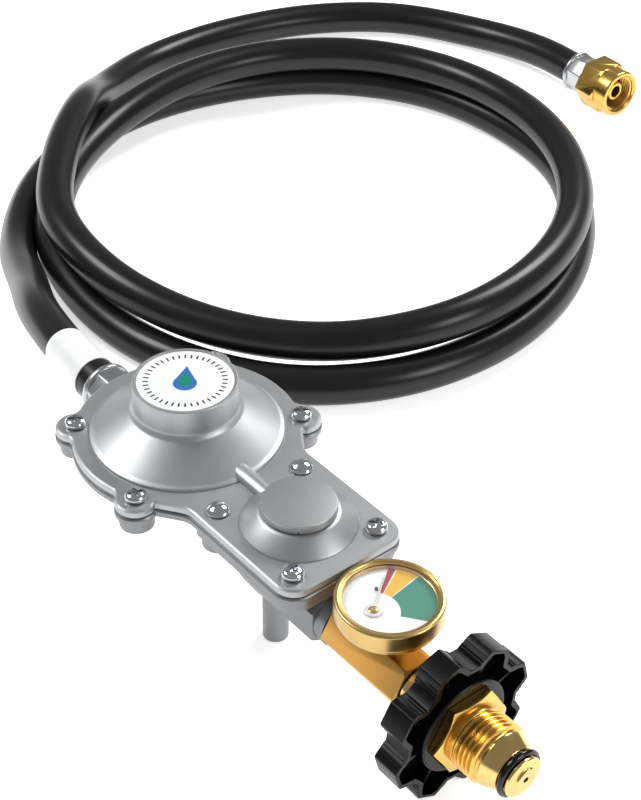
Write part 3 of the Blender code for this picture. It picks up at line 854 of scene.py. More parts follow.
@dataclass
class Castings:
    """The two die castings: a shared plate outline with domes above and bowls below.

    Profiles are (radius, height) points, and levels are (inset, height) points of the outline.
    """

    disc_r: float = 41.0
    ear_r: float = 7.3
    ear_flare: float = 1.6
    front_ear_pull: float = 3.0
    corner_r: float = 8.0
    corner_ease: float = 2.6
    front_x: float = 34.3
    side_y: float = 25.2
    neck_x: float = -21.0
    seam_z: float = 53.0
    gap: float = 0.3
    deck_z: float = 56.4
    through: Point2 = (52.0, 58.0)
    rib_z: float = 55.7
    vent_axis: Point3 = (-0.4, -4.1, 0.0)
    dome: Profile = (
        (18.76, 77.9), (18.76, 68.2), (19.9, 66.3), (26.5, 62.3), (33.4, 57.6), (34.9, 57.2), (35.1, 54.5),
        (31.5, 54.5), (31, 57), (17.3, 64.8), (15, 66), (15, 75.4), (17.3, 75.4), (17.3, 77.9))
    small_dome: Profile = (
        (13, 62), (14, 61.7), (20.2, 56.8), (20.4, 54.5), (15.8, 54.5), (10, 59.5), (9.5, 60), (9.5, 62))
    rib: Profile = ((0, -6.5), (2.6, -6.8), (3.9, -8.4), (3.9, -26.5), (2.6, -28.3), (0, -28.8))
    bowl: Profile = ((0, 51), (38, 51), (38, 49.5), (33, 45), (26, 40.5), (16, 35), (0, 34.5))
    small_bowl: Profile = ((0, 51), (24, 51), (24, 46.5), (22, 41.5), (18, 34.5), (15, 30.5), (0, 29))
    chamber: Profile = (
        (0, 54), (38.3, 54), (38.3, 51.9), (32.5, 51.9), (31, 47), (24, 42.5), (13, 37.5), (0, 37.5))
    small_chamber: Profile = ((0, 54), (19.6, 54), (19.6, 51.9), (17.5, 51.9), (17.5, 44), (0, 44))
    valve_bore: Profile = ((0, 45), (5.5, 45), (5.5, 38), (4.6, 38), (4.6, 24), (0, 24))
    passage: Profile = ((0, 33), (7.3, 33), (7.3, 19.5), (3.5, 19.5), (3.5, 7.6), (0, 7.6))

    def bearing(self, spot: Point2) -> float:
        """The direction of a spot from the disc's centre, in degrees."""
        return math.degrees(math.atan2(spot[1], spot[0] - BIG_X))

    def outline(self) -> list[Point2]:
        """The plate's outline, anticlockwise from the front.

        Returns:
            The points with the hollow corners beside the ears and the neck eased.
        """
        half = arc(self.front_x - self.corner_r, self.side_y - self.corner_r, self.corner_r, 0, 90, 12)
        half.append((self.neck_x, self.side_y))
        disc_from = 0.0
        for index, (x, y) in enumerate(EARS):
            bearing = self.bearing((x, y))
            ear = [self.foot(bearing, -1), *arc(x, y, self.ear_r, bearing - 80, bearing + 80, 12),
                   self.foot(bearing, 1)]
            if index > 0:
                half += arc(BIG_X, 0, self.disc_r, disc_from, self.bearing(ear[0]), 14)[1:-1]
            half += ear
            disc_from = self.bearing(ear[-1])
        half += arc(BIG_X, 0, self.disc_r, disc_from, 180, 16)[1:]
        whole = half + [(x, -y) for x, y in reversed(half[:-1])]
        return eased(whole, self.corner_ease, True, 4)

    def foot(self, bearing: float, side: int) -> Point2:
        """Where an ear's side runs into the disc.

        Args:
            bearing: The ear's direction from the disc's centre, in degrees.
            side: 1 for the side further round, -1 for the other.

        Returns:
            The point on the disc; a front ear's near side is pulled in, to leave room for the neck.
        """
        spread = math.degrees(math.asin((self.ear_r + self.ear_flare) / self.disc_r))
        pull = self.front_ear_pull if side < 0 and bearing < 90 else 0.0
        angle = math.radians(bearing + side * spread + pull)
        return (BIG_X + self.disc_r * math.cos(angle), self.disc_r * math.sin(angle))

    def bonnet(self) -> None:
        """The upper casting."""
        low = self.seam_z + self.gap
        bonnet = stacked("bonnet_shell", self.outline(), (
            (0.5, low), (0.1, low + 0.35), (0.0, low + 0.8), (0.0, self.deck_z - 1.1),
            (0.25, self.deck_z - 0.45), (0.9, self.deck_z)))
        cut(bonnet, rod("mouth", 32, *self.through, BIG_AXIS, steps=128, turn=OFFSET_TURN),
            rod("small_mouth", 16.2, *self.through, SMALL_AXIS, steps=96, turn=OFFSET_TURN),
            *[rod("hole", 2.3, *self.through, (x, y, 0), steps=24) for x, y in COVER_SCREWS + NECK_SCREWS])
        rib = turned("rib", self.rib, (0, 0, self.rib_z), Axis.INLET, 48, ease=1.2)
        add(bonnet, turned("dome", self.dome, BIG_AXIS, steps=144, ease=0.7),
            turned("small_dome", self.small_dome, SMALL_AXIS, steps=112, ease=0.6), rib)
        dress(bonnet, CASTING, "root", ["bonnet_casting"])

    def body_solid(self) -> bpy.types.Object:
        """The lower casting's outside.

        Returns:
            The casting without its chambers and bores.
        """
        body = stacked("body_shell", inset(self.outline(), -0.3), (
            (0.9, 49.7), (0.3, 50.1), (0.0, 50.7), (0.0, 52.4), (0.25, 52.8), (0.55, self.seam_z)))
        wall = arc(25.6, 16.4, 8, 0, 90, 10) + arc(-17, 22.4, 2, 90, 180, 4)
        wall += [(x, -y) for x, y in reversed(wall)]
        add(body, turned("bowl", self.bowl, BIG_AXIS, steps=128, ease=2.0),
            turned("small_bowl", self.small_bowl, SMALL_AXIS, steps=96, ease=2.0),
            stacked("small_wall", wall, ((1.2, 45.7), (0.3, 46.1), (0, 46.9), (0, 51))),
            block("bridge", (-40, -10, 36), (-5, 10, 50)),
            rod("inlet_boss", corner_radius(20.8, 6), 0, 27.5, INLET_AXIS, Axis.INLET, 6, ease=0.6),
            rod("inlet_collar", 10, 20, 32, INLET_AXIS, Axis.INLET, 64, ease=0.5),
            rod("outlet_boss", 10.5, -98.5, -75, OUTLET_AXIS, Axis.INLET, 72, ease=0.6),
            rod("vent_tube", 4.65, 0, 32, self.vent_axis, steps=48, ease=0.4),
            *[rod("boss", 6.2, 45.2, 51, (x, y, 0), steps=48, ease=0.8) for x, y in COVER_SCREWS],
            *[rod("neck_boss", 6, 42, 51, (x, y, 0), steps=48, ease=0.8) for x, y in NECK_SCREWS])
        return body

    def body(self) -> None:
        """The lower casting, hollowed and bored."""
        body = self.body_solid()
        cut(body, turned("chamber", self.chamber, BIG_AXIS, steps=96, ease=0),
            turned("small_chamber", self.small_chamber, SMALL_AXIS, steps=72, ease=0))
        add(body, block("slider_guide", (-38, -6, 36), (-33.5, 6, 50.2)),
            block("lug_left", (-49, 3.7, 36.5), (-43, 6.6, 45)),
            block("lug_right", (-49, -6.6, 36.5), (-43, -3.7, 45)))
        cut(body, turned("valve_bore", self.valve_bore, SMALL_AXIS, steps=40, ease=0),
            turned("passage", self.passage, INLET_AXIS, Axis.INLET, 40, ease=0),
            rod("slider_bore", 3.4, -38.5, -9, (0, 0, 46.5), Axis.INLET, 32),
            block("lever_bore", (-47.1, -6.3, 40.9), (-44.9, 6.3, 43.1)),
            rod("outlet_bore", 6.3, -99, -72, OUTLET_AXIS, Axis.INLET, 40),
            rod("vent_bore", 3.2, -1, 14, self.vent_axis, steps=40),
            *[rod("screw_hole", 2.5, 46.4, 54, (x, y, 0), steps=24) for x, y in COVER_SCREWS],
            *[rod("neck_hole", 2.5, 45.5, 54, (x, y, 0), steps=24) for x, y in NECK_SCREWS])
        # The lower casting takes the zinc with painted shade, darker than the bonnet above it
        dress(body, CASTING_PAINTED_SHADE, "root", ["body_casting"])

    def build(self) -> None:
        """Make both castings."""
        self.bonnet()
        self.body()


@dataclass
class Caps:
    """The closing cap with its round label, and the small plain cap."""

    cap_r: float = 12.98
    notch_r: float = 0.5
    notch_bearing: float = -41.0
    label_top: float = 77.61
    ticks: int = 40
    ticks_r: float = 13.9
    drop_turn: float = 140.0
    disc: Profile = ((0, 77.0), (17, 77.0), (17, 75.7), (0, 75.7))
    film: Profile = ((0, 77.62), (17.2, 77.58), (17.2, 77.3), (0, 77.3))

    def build(self) -> None:
        """Make the caps and the label."""
        dress(turned("closing_disc", self.disc, BIG_AXIS, steps=96), CAP_METAL, "root",
              ["closing_cap"])
        dress(turned("round_label", self.film, BIG_AXIS, steps=96, ease=0.08), VINYL, "root",
              ["cap_label"])
        self.print_on_label()
        shell = ((0, 65.4), (self.cap_r, 65.4), (self.cap_r, 62.3), (8.9, 62.3), (8.9, 64.2), (0, 64.2))
        cap = turned("small_cap", shell, SMALL_AXIS, steps=112, ease=0.45)
        bearing = math.radians(self.notch_bearing)
        x = SMALL_X + self.cap_r * math.cos(bearing)
        y = self.cap_r * math.sin(bearing)
        cut(cap, rod("notch", self.notch_r, 62, 63.5, (x, y, 0), steps=16))
        dress(cap, CAP_METAL, "root", ["stage1_cap"])

    def print_on_label(self) -> None:
        """Print a ring of plain ticks and a two-tone drop on the round label."""
        tick = block("tick", (-0.95, -0.28, 0.0), (0.95, 0.28, 0.05))
        step = math.tau / self.ticks
        spots = [(BIG_X + self.ticks_r * math.cos(index * step), self.ticks_r * math.sin(index * step),
                  self.label_top) for index in range(self.ticks)]
        ticks = Repeater("label_ticks").place(tick, spots, INK_BLACK, 0.0, step)
        dress(ticks, INK_BLACK, "root")
        matrix = Matrix.Translation(BIG_AXIS) @ Matrix.Rotation(math.radians(self.drop_turn), 4, "Z")
        for name, scale, ink in (("label_drop_large", 1.0, INK_BLUE), ("label_drop_small", 0.55, INK_GREEN)):
            drop = [(8.2 * scale, 0.0)] + arc(-1.5 * scale, 0, 4.2 * scale, 52, 308, 24)
            low = self.label_top + 0.06 * (1 - scale)
            dress(stacked(name, drop, ((0, low), (0, low + 0.05)), matrix), ink, "root")


@dataclass
class Screws:
    """The cross-head cover screws and the plain round heads at the neck."""

    seat_z: float = 56.7
    slot_width: float = 1.05
    slot_reach: float = 2.5
    slot_floor: float = 0.9
    pan: Profile = (
        (0, 2.65), (1.8, 2.6), (3.0, 2.2), (3.75, 1.3), (3.75, 0.25), (3.5, 0.0), (2, 0.0), (2, -9.5),
        (0, -9.7))
    recess: Profile = ((0, 4), (1.3, 4), (0.7, 0.5), (0, 0.3))
    dome: Profile = (
        (0, 2.3), (1.5, 2.15), (3.0, 1.5), (4.1, 0.45), (4.15, 0.0), (2, 0.0), (2, -10.5), (0, -10.7))

    def cross_head(self) -> bpy.types.Object:
        """One pan head with a cross recess, on the origin at its seat.

        Returns:
            The screw.
        """
        screw = turned("cross_head", self.pan, (0, 0, 0), steps=40, ease=0.35)
        reach = self.slot_reach
        half = self.slot_width / 2
        cut(screw, block("slot_a", (-reach, -half, self.slot_floor), (reach, half, 4)),
            block("slot_b", (-half, -reach, self.slot_floor), (half, reach, 4)),
            turned("bore", self.recess, (0, 0, 0), steps=16, ease=0))
        return screw

    def round_head(self) -> bpy.types.Object:
        """One low plain dome, on the origin at its seat."""
        return turned("round_head", self.dome, (0, 0, 0), steps=48, ease=0.5)

    def build(self) -> None:
        """Set every screw with a Geometry Nodes repeater."""
        crosses = Repeater("cover_screws").place(
            self.cross_head(), [(x, y, self.seat_z) for x, y in COVER_SCREWS], CHROME, math.tau)
        dress(crosses, CHROME, "root", [f"cover_screw_{index}" for index in range(1, 7)])
        domes = Repeater("neck_screws").place(
            self.round_head(), [(x, y, self.seat_z) for x, y in NECK_SCREWS], CHROME)
        dress(domes, CHROME, "root", ["dome_screw_1", "dome_screw_2"])


@dataclass
class Gauge:
    """The hexagon block with the gauge on top; profiles are (radius, height) points."""

    flats: float = 19.0
    dial_r: float = 15.2
    ink_from_r: float = 8.7
    ink_steps: int = 20
    ink: Profile = ((0, 54.40), (0, 54.46))
    length: float = 16.8
    angle: float = 127.0
    stop_r: float = 9.8
    stop_bearing: float = 134.0
    case: Profile = (
        (0, 49.8), (16.5, 49.8), (16.5, 53.7), (17.2, 53.7), (17.2, 48.2), (7.4, 48.2), (5.6, 47.4),
        (5.2, 45.5), (5.2, 38.3), (0, 38.3))
    bezel: Profile = (
        (16.9, 56.9), (17.75, 56.75), (18.15, 56.2), (18.15, 50.6), (17.9, 49.9), (17.5, 49.9),
        (17.5, 56.2), (15.5, 56.2), (15.5, 56.45), (16.3, 56.5), (16.5, 56.8))
    dial: Profile = ((0, 54.4), (17.2, 54.4), (17.2, 54.0), (0, 54.0))
    wall: Profile = ((15.9, 55.7), (15.9, 54.45), (15.1, 54.45), (15.2, 54.9), (15.45, 55.0), (15.5, 55.7))
    window: Profile = ((0, 56.1), (17.2, 56.1), (17.2, 55.8), (0, 55.8))
    hub: Profile = ((2.7, 55.05), (2.9, 54.9), (2.9, 54.75), (1.1, 54.75), (1.1, 55.1), (2.2, 55.1))
    arbor: Profile = (
        (0, 55.3), (0.45, 55.3), (0.55, 55.55), (0.8, 55.55), (1.5, 55.35), (1.75, 55.2), (1.75, 55.14),
        (0.8, 55.16), (0.8, 50.4), (0, 50.4))

    def sector(self, name: str, first: float, last: float, finish: Finish) -> None:
        """A printed sector that runs from an arc round the pivot to the dial's rim.

        Args:
            name: The piece's name.
            first: Its first angle from the pivot, in degrees.
            last: Its last angle.
            finish: Its ink.
        """
        inner = arc(*POINTER_XY, self.ink_from_r, first, last, self.ink_steps)
        outer = [self.rim_point(math.radians(last + (first - last) * step / self.ink_steps))
                 for step in range(self.ink_steps + 1)]
        dress(stacked(name, inner[::-1] + outer[::-1], self.ink), finish, "root")

    def rim_point(self, angle: float) -> Point2:
        """Where a ray from the pivot meets the circle just inside the dial's rim.

        Args:
            angle: The ray's angle, in radians.

        Returns:
            The point.
        """
        offset = Vector(POINTER_XY) - Vector((GAUGE_X, 0))
        ray = Vector((math.cos(angle), math.sin(angle)))
        along = offset.dot(ray)
        reach = -along + math.sqrt(along * along - offset.length_squared + self.dial_r ** 2)
        return tuple(Vector(POINTER_XY) + ray * reach)

    def block(self) -> None:
        """The hexagon bar with its chamfered end, and its spigot."""
        corner = corner_radius(self.flats, 6)
        bar = bevelled_bar("hexagon_bar", self.flats, 6, 32.3, 69, INLET_AXIS, Axis.INLET, math.pi / 6, 0.25)
        chamfer = ((corner + 3, 69.5), (corner + 3, 66.5), (corner, 67.6), (self.flats / 2 + 0.1, 69.5))
        cut(bar, turned("chamfer", chamfer, INLET_AXIS, Axis.INLET, 96, ease=0))
        add(bar, rod("spigot", 7, 19.8, 34, INLET_AXIS, Axis.INLET, 64))
        cut(bar, rod("bore", 4, 19, 61, INLET_AXIS, Axis.INLET, 40),
            rod("counterbore", 6.3, 60, 70, INLET_AXIS, Axis.INLET, 48))
        dress(bar, BRASS_BAR, "root", ["gauge_block"])

    def build(self) -> None:
        """Make the block, the case, the dial and the pointer."""
        self.block()
        dress(turned("gauge_body", self.case, GAUGE_AXIS, steps=96), BRASS_SPUN, "root",
              ["gauge_case"])
        dress(turned("bezel_ring", self.bezel, GAUGE_AXIS, steps=128, ease=0.25), BRASS_SPUN, "root",
              ["gauge_bezel"])
        dial = turned("dial_plate", self.dial, GAUGE_AXIS, steps=96, ease=0)
        cut(dial, rod("eye", 1.2, 53, 56, (*POINTER_XY, 0), steps=24))
        dress(dial, DIAL_WHITE, "root", ["gauge_dial"])
        self.sector("dial_red", 119, 125.5, INK_RED)
        self.sector("dial_yellow", 99, 117.5, INK_YELLOW)
        self.sector("dial_green", 37, 97.5, INK_GREEN)
        dress(turned("inner_wall", self.wall, GAUGE_AXIS, steps=128, ease=0.08), BRASS_SPUN, "root")
        dress(turned("window", self.window, GAUGE_AXIS, steps=96, ease=0), Lens(), "root",
              ["gauge_lens"])
        self.pointer()

    def pointer(self) -> None:
        """The pointer with its hub, the arbor with its washer, and the stop."""
        pivot = (*POINTER_XY, 0)
        tip = self.length
        blade = [(-0.5, -0.5), (0.5, -0.55), (tip - 2.2, -0.26), (tip, 0), (tip - 2.2, 0.26), (0.5, 0.55),
                 (-0.5, 0.5)]
        matrix = Matrix.Translation(pivot) @ Matrix.Rotation(math.radians(self.angle), 4, "Z")
        needle = stacked("pointer_blade", eased(blade, 0.4, True),
                         ((0.05, 54.7), (0, 54.78), (0, 54.95), (0.08, 55.02)), matrix)
        hub = turned("pointer_hub", self.hub, pivot, steps=40, ease=0.1)
        dress(merge("pointer", [needle, hub]), POINTER_SILVER, "pointer", ["gauge_pointer"])
        dress(turned("arbor", self.arbor, pivot, steps=32, ease=0.06), BRASS, "pointer",
              ["pointer_arbor"])
        bearing = math.radians(self.stop_bearing)
        stop = (POINTER_XY[0] + self.stop_r * math.cos(bearing),
                POINTER_XY[1] + self.stop_r * math.sin(bearing), 0)
        dress(rod("stop_stud", 0.55, 54.45, 55.4, stop, steps=20, ease=0.12), INK_BLACK, "root",
              ["dial_stop"])


@dataclass
class Inlet:
    """The nipple, its sealing ring and the threaded nut; profiles are (radius, station) points."""

    flats: float = 27.0
    root_r: float = 10.15
    thread_r: float = 11.25
    pitch: float = 1.81
    ring_r: float = 7.88
    ring_x: float = 114.65
    ring_section_r: float = 1.05
    nose: Profile = (
        (3.4, 118.45), (4.3, 118.3), (4.4, 117.5), (5.6, 117.3), (7.2, 117.1), (7.4, 116.6), (7.4, 116),
        (6.6, 116), (6.6, 113.3), (8.3, 113.1), (10.4, 107.6), (10.4, 107.1), (7.2, 107.1), (7.2, 72),
        (9, 72), (9, 69.3), (6, 69.3), (6, 60.5), (4, 60.5), (4, 84), (4.6, 84), (4.6, 116.2),
        (1.0, 116.2), (1.0, 118.1))

    def nipple(self) -> None:
        """The tapered nose with the tube behind it, and its ring."""
        dress(turned("nose", self.nose, INLET_AXIS, Axis.INLET, 112, ease=0.25), BRASS_PALE, "root",
              ["inlet_nipple"])
        section = arc(self.ring_r, self.ring_x, self.ring_section_r, 90, -270, 24)[:-1]
        dress(turned("o_ring", section, INLET_AXIS, Axis.INLET, 112, ease=0), ORING, "root",
              ["nose_ring"])

    def nut(self) -> None:
        """The hexagon nut with its left-hand thread."""
        corner = corner_radius(self.flats, 6)
        root = self.root_r
        nut = bevelled_bar("tank_nut", self.flats, 6, 78, 94.5, INLET_AXIS, Axis.INLET, math.pi / 6, 0.3)
        chamfer = ((corner + 3, 96), (corner + 3, 92.4), (corner, 93.3), (13.3, 94.6), (13.3, 96))
        cut(nut, turned("chamfer", chamfer, INLET_AXIS, Axis.INLET, 112, ease=0))
        shank = ((0, 106.7), (9.7, 106.7), (root, 106.2), (root, 96.4), (10.9, 96.1), (10.9, 93), (0, 93))
        add(nut, turned("shank", shank, INLET_AXIS, Axis.INLET, 96, ease=0.15))
        cut(nut, rod("bore", 7.6, 77, 108, INLET_AXIS, Axis.INLET, 72))
        ridge = helix("ridge", root, self.thread_r - root, self.pitch, 97.1, 106.0, INLET_AXIS, Axis.INLET)
        dress(merge("tank_nut_body", [nut, ridge]), BRASS, "wheel_nut", ["inlet_nut"])

    def build(self) -> None:
        """Make the nipple and the nut."""
        self.nipple()
        self.nut()


@dataclass
class Wheel:
    """The handwheel: a cup with eight lobes, open to the front.

    Each flank is a row of (radius, degrees from the lobe's middle) points.
    """

    lobes: int = 8
    lobe_r: float = 28.4
    recess_r: float = 23.7
    recess_at: float = 17.5
    wall: float = 1.3
    turn: float = 15.0
    hub: Profile = ((0, 90.7), (17.0, 90.7), (17.5, 90.2), (17.8, 81), (0, 81))
    hexagon_flats: float = 27.6
    web: Profile = ((16.5, -0.6), (27.4, -0.6), (27.4, 0.6), (16.5, 0.6))
    web_levels: Profile = ((0, 81.3), (0, 86.8))

    def outline(self, depth: float) -> list[Point2]:
        """The wheel's outline.

        Args:
            depth: How far in it lies from the outer face; only the outer face has stepped flanks.

        Returns:
            The points, anticlockwise.
        """
        points: list[Point2] = []
        lobe = self.lobe_r - depth
        recess = self.recess_r - depth
        lean = math.degrees(depth / lobe)
        half = [(lobe, 8.4 - lean), (lobe - 1.5, 11.8 - lean)]
        if depth == 0:
            half += [(recess + 1.9, 13.6), (recess + 1.9, 14.9), (recess + 1.1, 15.5), (recess + 1.1, 16.7)]
        half.append((recess, self.recess_at - lean))
        half.reverse()
        for index in range(self.lobes):
            middle = self.turn + index * 360 / self.lobes
            points += [self.spot(radius, middle - angle) for radius, angle in half]
            points += [self.spot(radius, middle + angle) for radius, angle in reversed(half)]
        return eased(points, 0.4, True, 2)

    def spot(self, radius: float, degrees: float) -> Point2:
        """A point at a radius and a bearing."""
        return (radius * math.cos(math.radians(degrees)), radius * math.sin(math.radians(degrees)))

    def webs(self, place: Matrix) -> list[bpy.types.Object]:
        """Thin ribs that run from the hub out into the lobes.

        Args:
            place: Where the wheel's outline goes.

        Returns:
            The ribs.
        """
        spins = [Matrix.Rotation(math.radians(self.turn + index * 360 / self.lobes), 4, "Z")
                 for index in range(self.lobes)]
        return [stacked("web", self.web, self.web_levels, place @ spin) for spin in spins]

    def build(self) -> None:
        """Make the wheel."""
        across = Matrix(((0, 0, 1, 0), (1, 0, 0, 0), (0, 1, 0, 0), (0, 0, 0, 1)))
        place = Matrix.Translation(INLET_AXIS) @ across
        wheel = stacked("wheel_cup", self.outline(0), (
            (0.2, 79.8), (0.0, 80.05), (0.0, 89.8), (0.2, 90)), place)
        cut(wheel, stacked("hollow", self.outline(self.wall), ((0.0, 82), (0.0, 91)), place))
        add(wheel, turned("hub", self.hub, INLET_AXIS, Axis.INLET, 112, ease=0.3), *self.webs(place))
        cut(wheel, rod("hexagon", corner_radius(self.hexagon_flats, 6), 79, 92, INLET_AXIS, Axis.INLET, 6,
                       math.pi / 6))
        dress(wheel, WHEEL_ABS, "wheel_nut", ["handwheel"])


@dataclass
class EndNut:
    """The swivel nut with its internal thread, the ferrule and the stem."""

    flats: float = 24.0
    rim_r: float = 12.1
    turn: float = 33.0
    pitch: float = 1.41
    thread_r: float = 9.5
    thread_depth: float = 0.75
    mouth_r: float = 10.1
    stem_hole_r: float = 6.4
    stem: Profile = (
        (3.6, -3.4), (4.6, -3.6), (5, -4), (8.3, -9), (8.3, -12.6), (6, -13.2), (6, -22.6), (5, -22.6),
        (5, -32.4), (3, -32.4), (3, -3.6))

    def nut(self) -> bpy.types.Object:
        """Make the nut.

        Returns:
            The nut.
        """
        corner = corner_radius(self.flats, 6)
        nut = bevelled_bar("swivel_hexagon", self.flats, 6, -20.5, -8, NUT_FACE, Axis.NUT,
                           math.radians(self.turn), 0.3)
        chamfer = ((corner + 3, -7), (corner + 3, -10), (corner, -9.1), (12.5, -7.9), (12.5, -7))
        cut(nut, turned("chamfer", chamfer, NUT_FACE, Axis.NUT, 96, ease=0))
        rim = ((0, 0), (11.5, 0), (self.rim_r, -0.9), (self.rim_r, -10), (0, -10))
        add(nut, turned("rim", rim, NUT_FACE, Axis.NUT, 112, ease=0.3))
        hollow = ((0, 1), (self.mouth_r, 1), (self.mouth_r, -0.3), (self.thread_r, -0.9),
                  (self.thread_r, -13.6), (self.stem_hole_r, -13.6), (self.stem_hole_r, -22), (0, -22))
        cut(nut, turned("hollow", hollow, NUT_FACE, Axis.NUT, 96, ease=0))
        ridge = helix("ridge", self.thread_r, self.thread_depth, self.pitch, -11.8, -1.2, NUT_FACE,
                      Axis.NUT, True)
        whole = merge("swivel_nut_body", [nut, ridge])
        return dress(whole, BRASS, "swivel_nut", ["flare_nut"])

    def build(self) -> list[bpy.types.Object]:
        """Make the end fitting.

        Returns:
            The pieces that the hose carries.
        """
        nut = self.nut()
        cone = dress(turned("cone_stem", self.stem, NUT_FACE, Axis.NUT, 72, ease=0.2), BRASS, "root",
                     ["flare_stem"])
        crimp = dress(crimped_sleeve("end_sleeve", NUT_FACE, Axis.NUT, -31.4, -21.8, -33.5, 5.4), NICKEL,
                      "root", ["end_ferrule"])
        return [nut, cone, crimp]


@dataclass
class Hose:
    """The hose with its label, and the fitting that it leaves from."""

    radius: float = 8.4
    round_steps: int = 40
    spacing: float = 4.0
    label_from: float = 6.8
    label_to: float = 35.0
    film: float = 0.35
    route: tuple[Point3, ...] = (
        (-110.8, 0, 42), (-168, 9, 37), (-213, 28, 23), (-258, 49, 11), (-297, 82, 9), (-323, 125, 9),
        (-332, 175, 9), (-322, 225, 9), (-296, 268, 9), (-255, 297, 9), (-205, 305, 9), (-155, 295, 9),
        (-114, 265, 9), (-84, 224, 9), (-70, 175, 9), (-76, 124, 9), (-102, 82, 9), (-146, 56, 9),
        (-197, 50, 9), (-246, 61, 13), (-286, 92, 17), (-312, 136, 20), (-320, 186, 25), (-311, 236, 26),
        (-281, 277, 26), (-236, 299, 26), (-185, 300, 26), (-138, 281, 26), (-101, 246, 26), (-80, 200, 26),
        (-78, 150, 25), (-101, 105, 21), (-140, 73, 21), (-187, 56, 26), (-238, 60, 31), (-279, 87, 34),
        (-316, 123, 32), (-349, 157, 17), (-372, 202, 10), (-374, 252, 9), (-360, 302, 9), (-331, 342, 9),
        (-288, 366, 9), (-250, 373.4, 11.5), (-219.3, 372.1, 12.4))
    fitting: Profile = ((6, -86), (6, -100), (5, -100), (5, -108), (3.2, -108), (3.2, -86))

    def line(self) -> list[Vector]:
        """The hose's centre line.

        Returns:
            Points about `spacing` apart on a smooth curve through the route.
        """
        knots = [Vector(spot) for spot in self.route]
        slopes = [(after - before) / 2 for before, after in zip(knots, knots[2:])]
        heading = Vector((math.cos(NUT_HEADING), math.sin(NUT_HEADING), 0))
        slopes.insert(0, Vector((-1, 0, 0)) * (knots[1] - knots[0]).length)
        slopes.append(heading * (knots[-1] - knots[-2]).length)
        points = [knots[0]]
        for index in range(len(knots) - 1):
            parts = max(4, round((knots[index + 1] - knots[index]).length / self.spacing))
            for part in range(1, parts + 1):
                t = part / parts
                points.append(knots[index] * (2 * t ** 3 - 3 * t ** 2 + 1)
                              + slopes[index] * (t ** 3 - 2 * t ** 2 + t)
                              + knots[index + 1] * (3 * t ** 2 - 2 * t ** 3)
                              + slopes[index + 1] * (t ** 3 - t ** 2))
        return self.relaxed(points)

    def relaxed(self, points: list[Vector], rounds: int = 6) -> list[Vector]:
        """Even out the bending between the route's points, with both ends held.

        Args:
            points: The curve's points.
            rounds: How often each point moves towards the middle of its neighbours.

        Returns:
            The evened points.
        """
        line = list(points)
        for _ in range(rounds):
            line = line[:2] + [(before + 2 * here + after) / 4
                               for before, here, after in zip(line[1:], line[2:], line[3:])] + line[-2:]
        return line

    def sleeve(self, name: str, line: list[Vector], radius: float) -> bpy.types.Object:
        """A solid bar along a line, with a UV map that runs in metres round and along it.

        Args:
            name: The object's name.
            line: The centre line.
            radius: The radius.

        Returns:
            The bar.
        """
        steps = self.round_steps
        shape = bmesh.new()
        layer = shape.loops.layers.uv.new("length")
        rows = []
        travelled = [0.0]
        for before, after in zip(line, line[1:]):
            travelled.append(travelled[-1] + (after - before).length)
        side = Vector((0, 1, 0))
        for index, spot in enumerate(line):
            ahead = (line[min(index + 1, len(line) - 1)] - line[max(index - 1, 0)]).normalized()
            side = (side - ahead * side.dot(ahead)).normalized()
            up = ahead.cross(side)
            turns = [math.tau * step / steps for step in range(steps)]
            rows.append([shape.verts.new(spot + (side * math.cos(turn) + up * math.sin(turn)) * radius)
                         for turn in turns])
        for index, (lower, upper) in enumerate(zip(rows, rows[1:])):
            for step in range(steps):
                after = (step + 1) % steps
                face = shape.faces.new((lower[step], lower[after], upper[after], upper[step]))
                ends = ((step, index), (step + 1, index), (step + 1, index + 1), (step, index + 1))
                for loop, (around, along) in zip(face.loops, ends):
                    loop[layer].uv = (around / steps * math.tau * radius * MM, travelled[along] * MM)
        shape.faces.new(rows[0][::-1])
        shape.faces.new(rows[-1])
        bmesh.ops.recalc_face_normals(shape, faces=shape.faces)
        return as_object(shape, name)

    def build(self) -> None:
        line = self.line()
        tube = self.sleeve("hose", line, self.radius)
        dress(tube, HoseCover(), "root", ["hose_tube"])
        label = self.label(line)
        carried = EndNut().build()
        self.outlet()

    def label(self, line: list[Vector]) -> bpy.types.Object:
        """The film wrapped round the hose near the outlet.

        Args:
            line: The hose's centre line.

        Returns:
            The label.
        """
        start = line[0]
        near = start.lerp(line[2], self.label_from / (line[2] - start).length)
        inner = [spot for spot in line[:16] if self.label_from + 1 < (spot - start).length < self.label_to]
        wrap = self.sleeve("hose_wrap", [near, *inner], self.radius + self.film)
        return dress(wrap, VINYL, "root", ["hose_label"])

    def outlet(self) -> None:
        """The crimped ferrule and the barbed fitting inside it."""
        dress(turned("barbed_fitting", self.fitting, OUTLET_AXIS, Axis.INLET, 48), BRASS, "root",
              ["outlet_fitting"])
        crimp = crimped_sleeve("outlet_sleeve", OUTLET_AXIS, Axis.INLET, -108.2, -98.8, -110.5, 5.9)
        dress(crimp, NICKEL, "root", ["outlet_ferrule"])


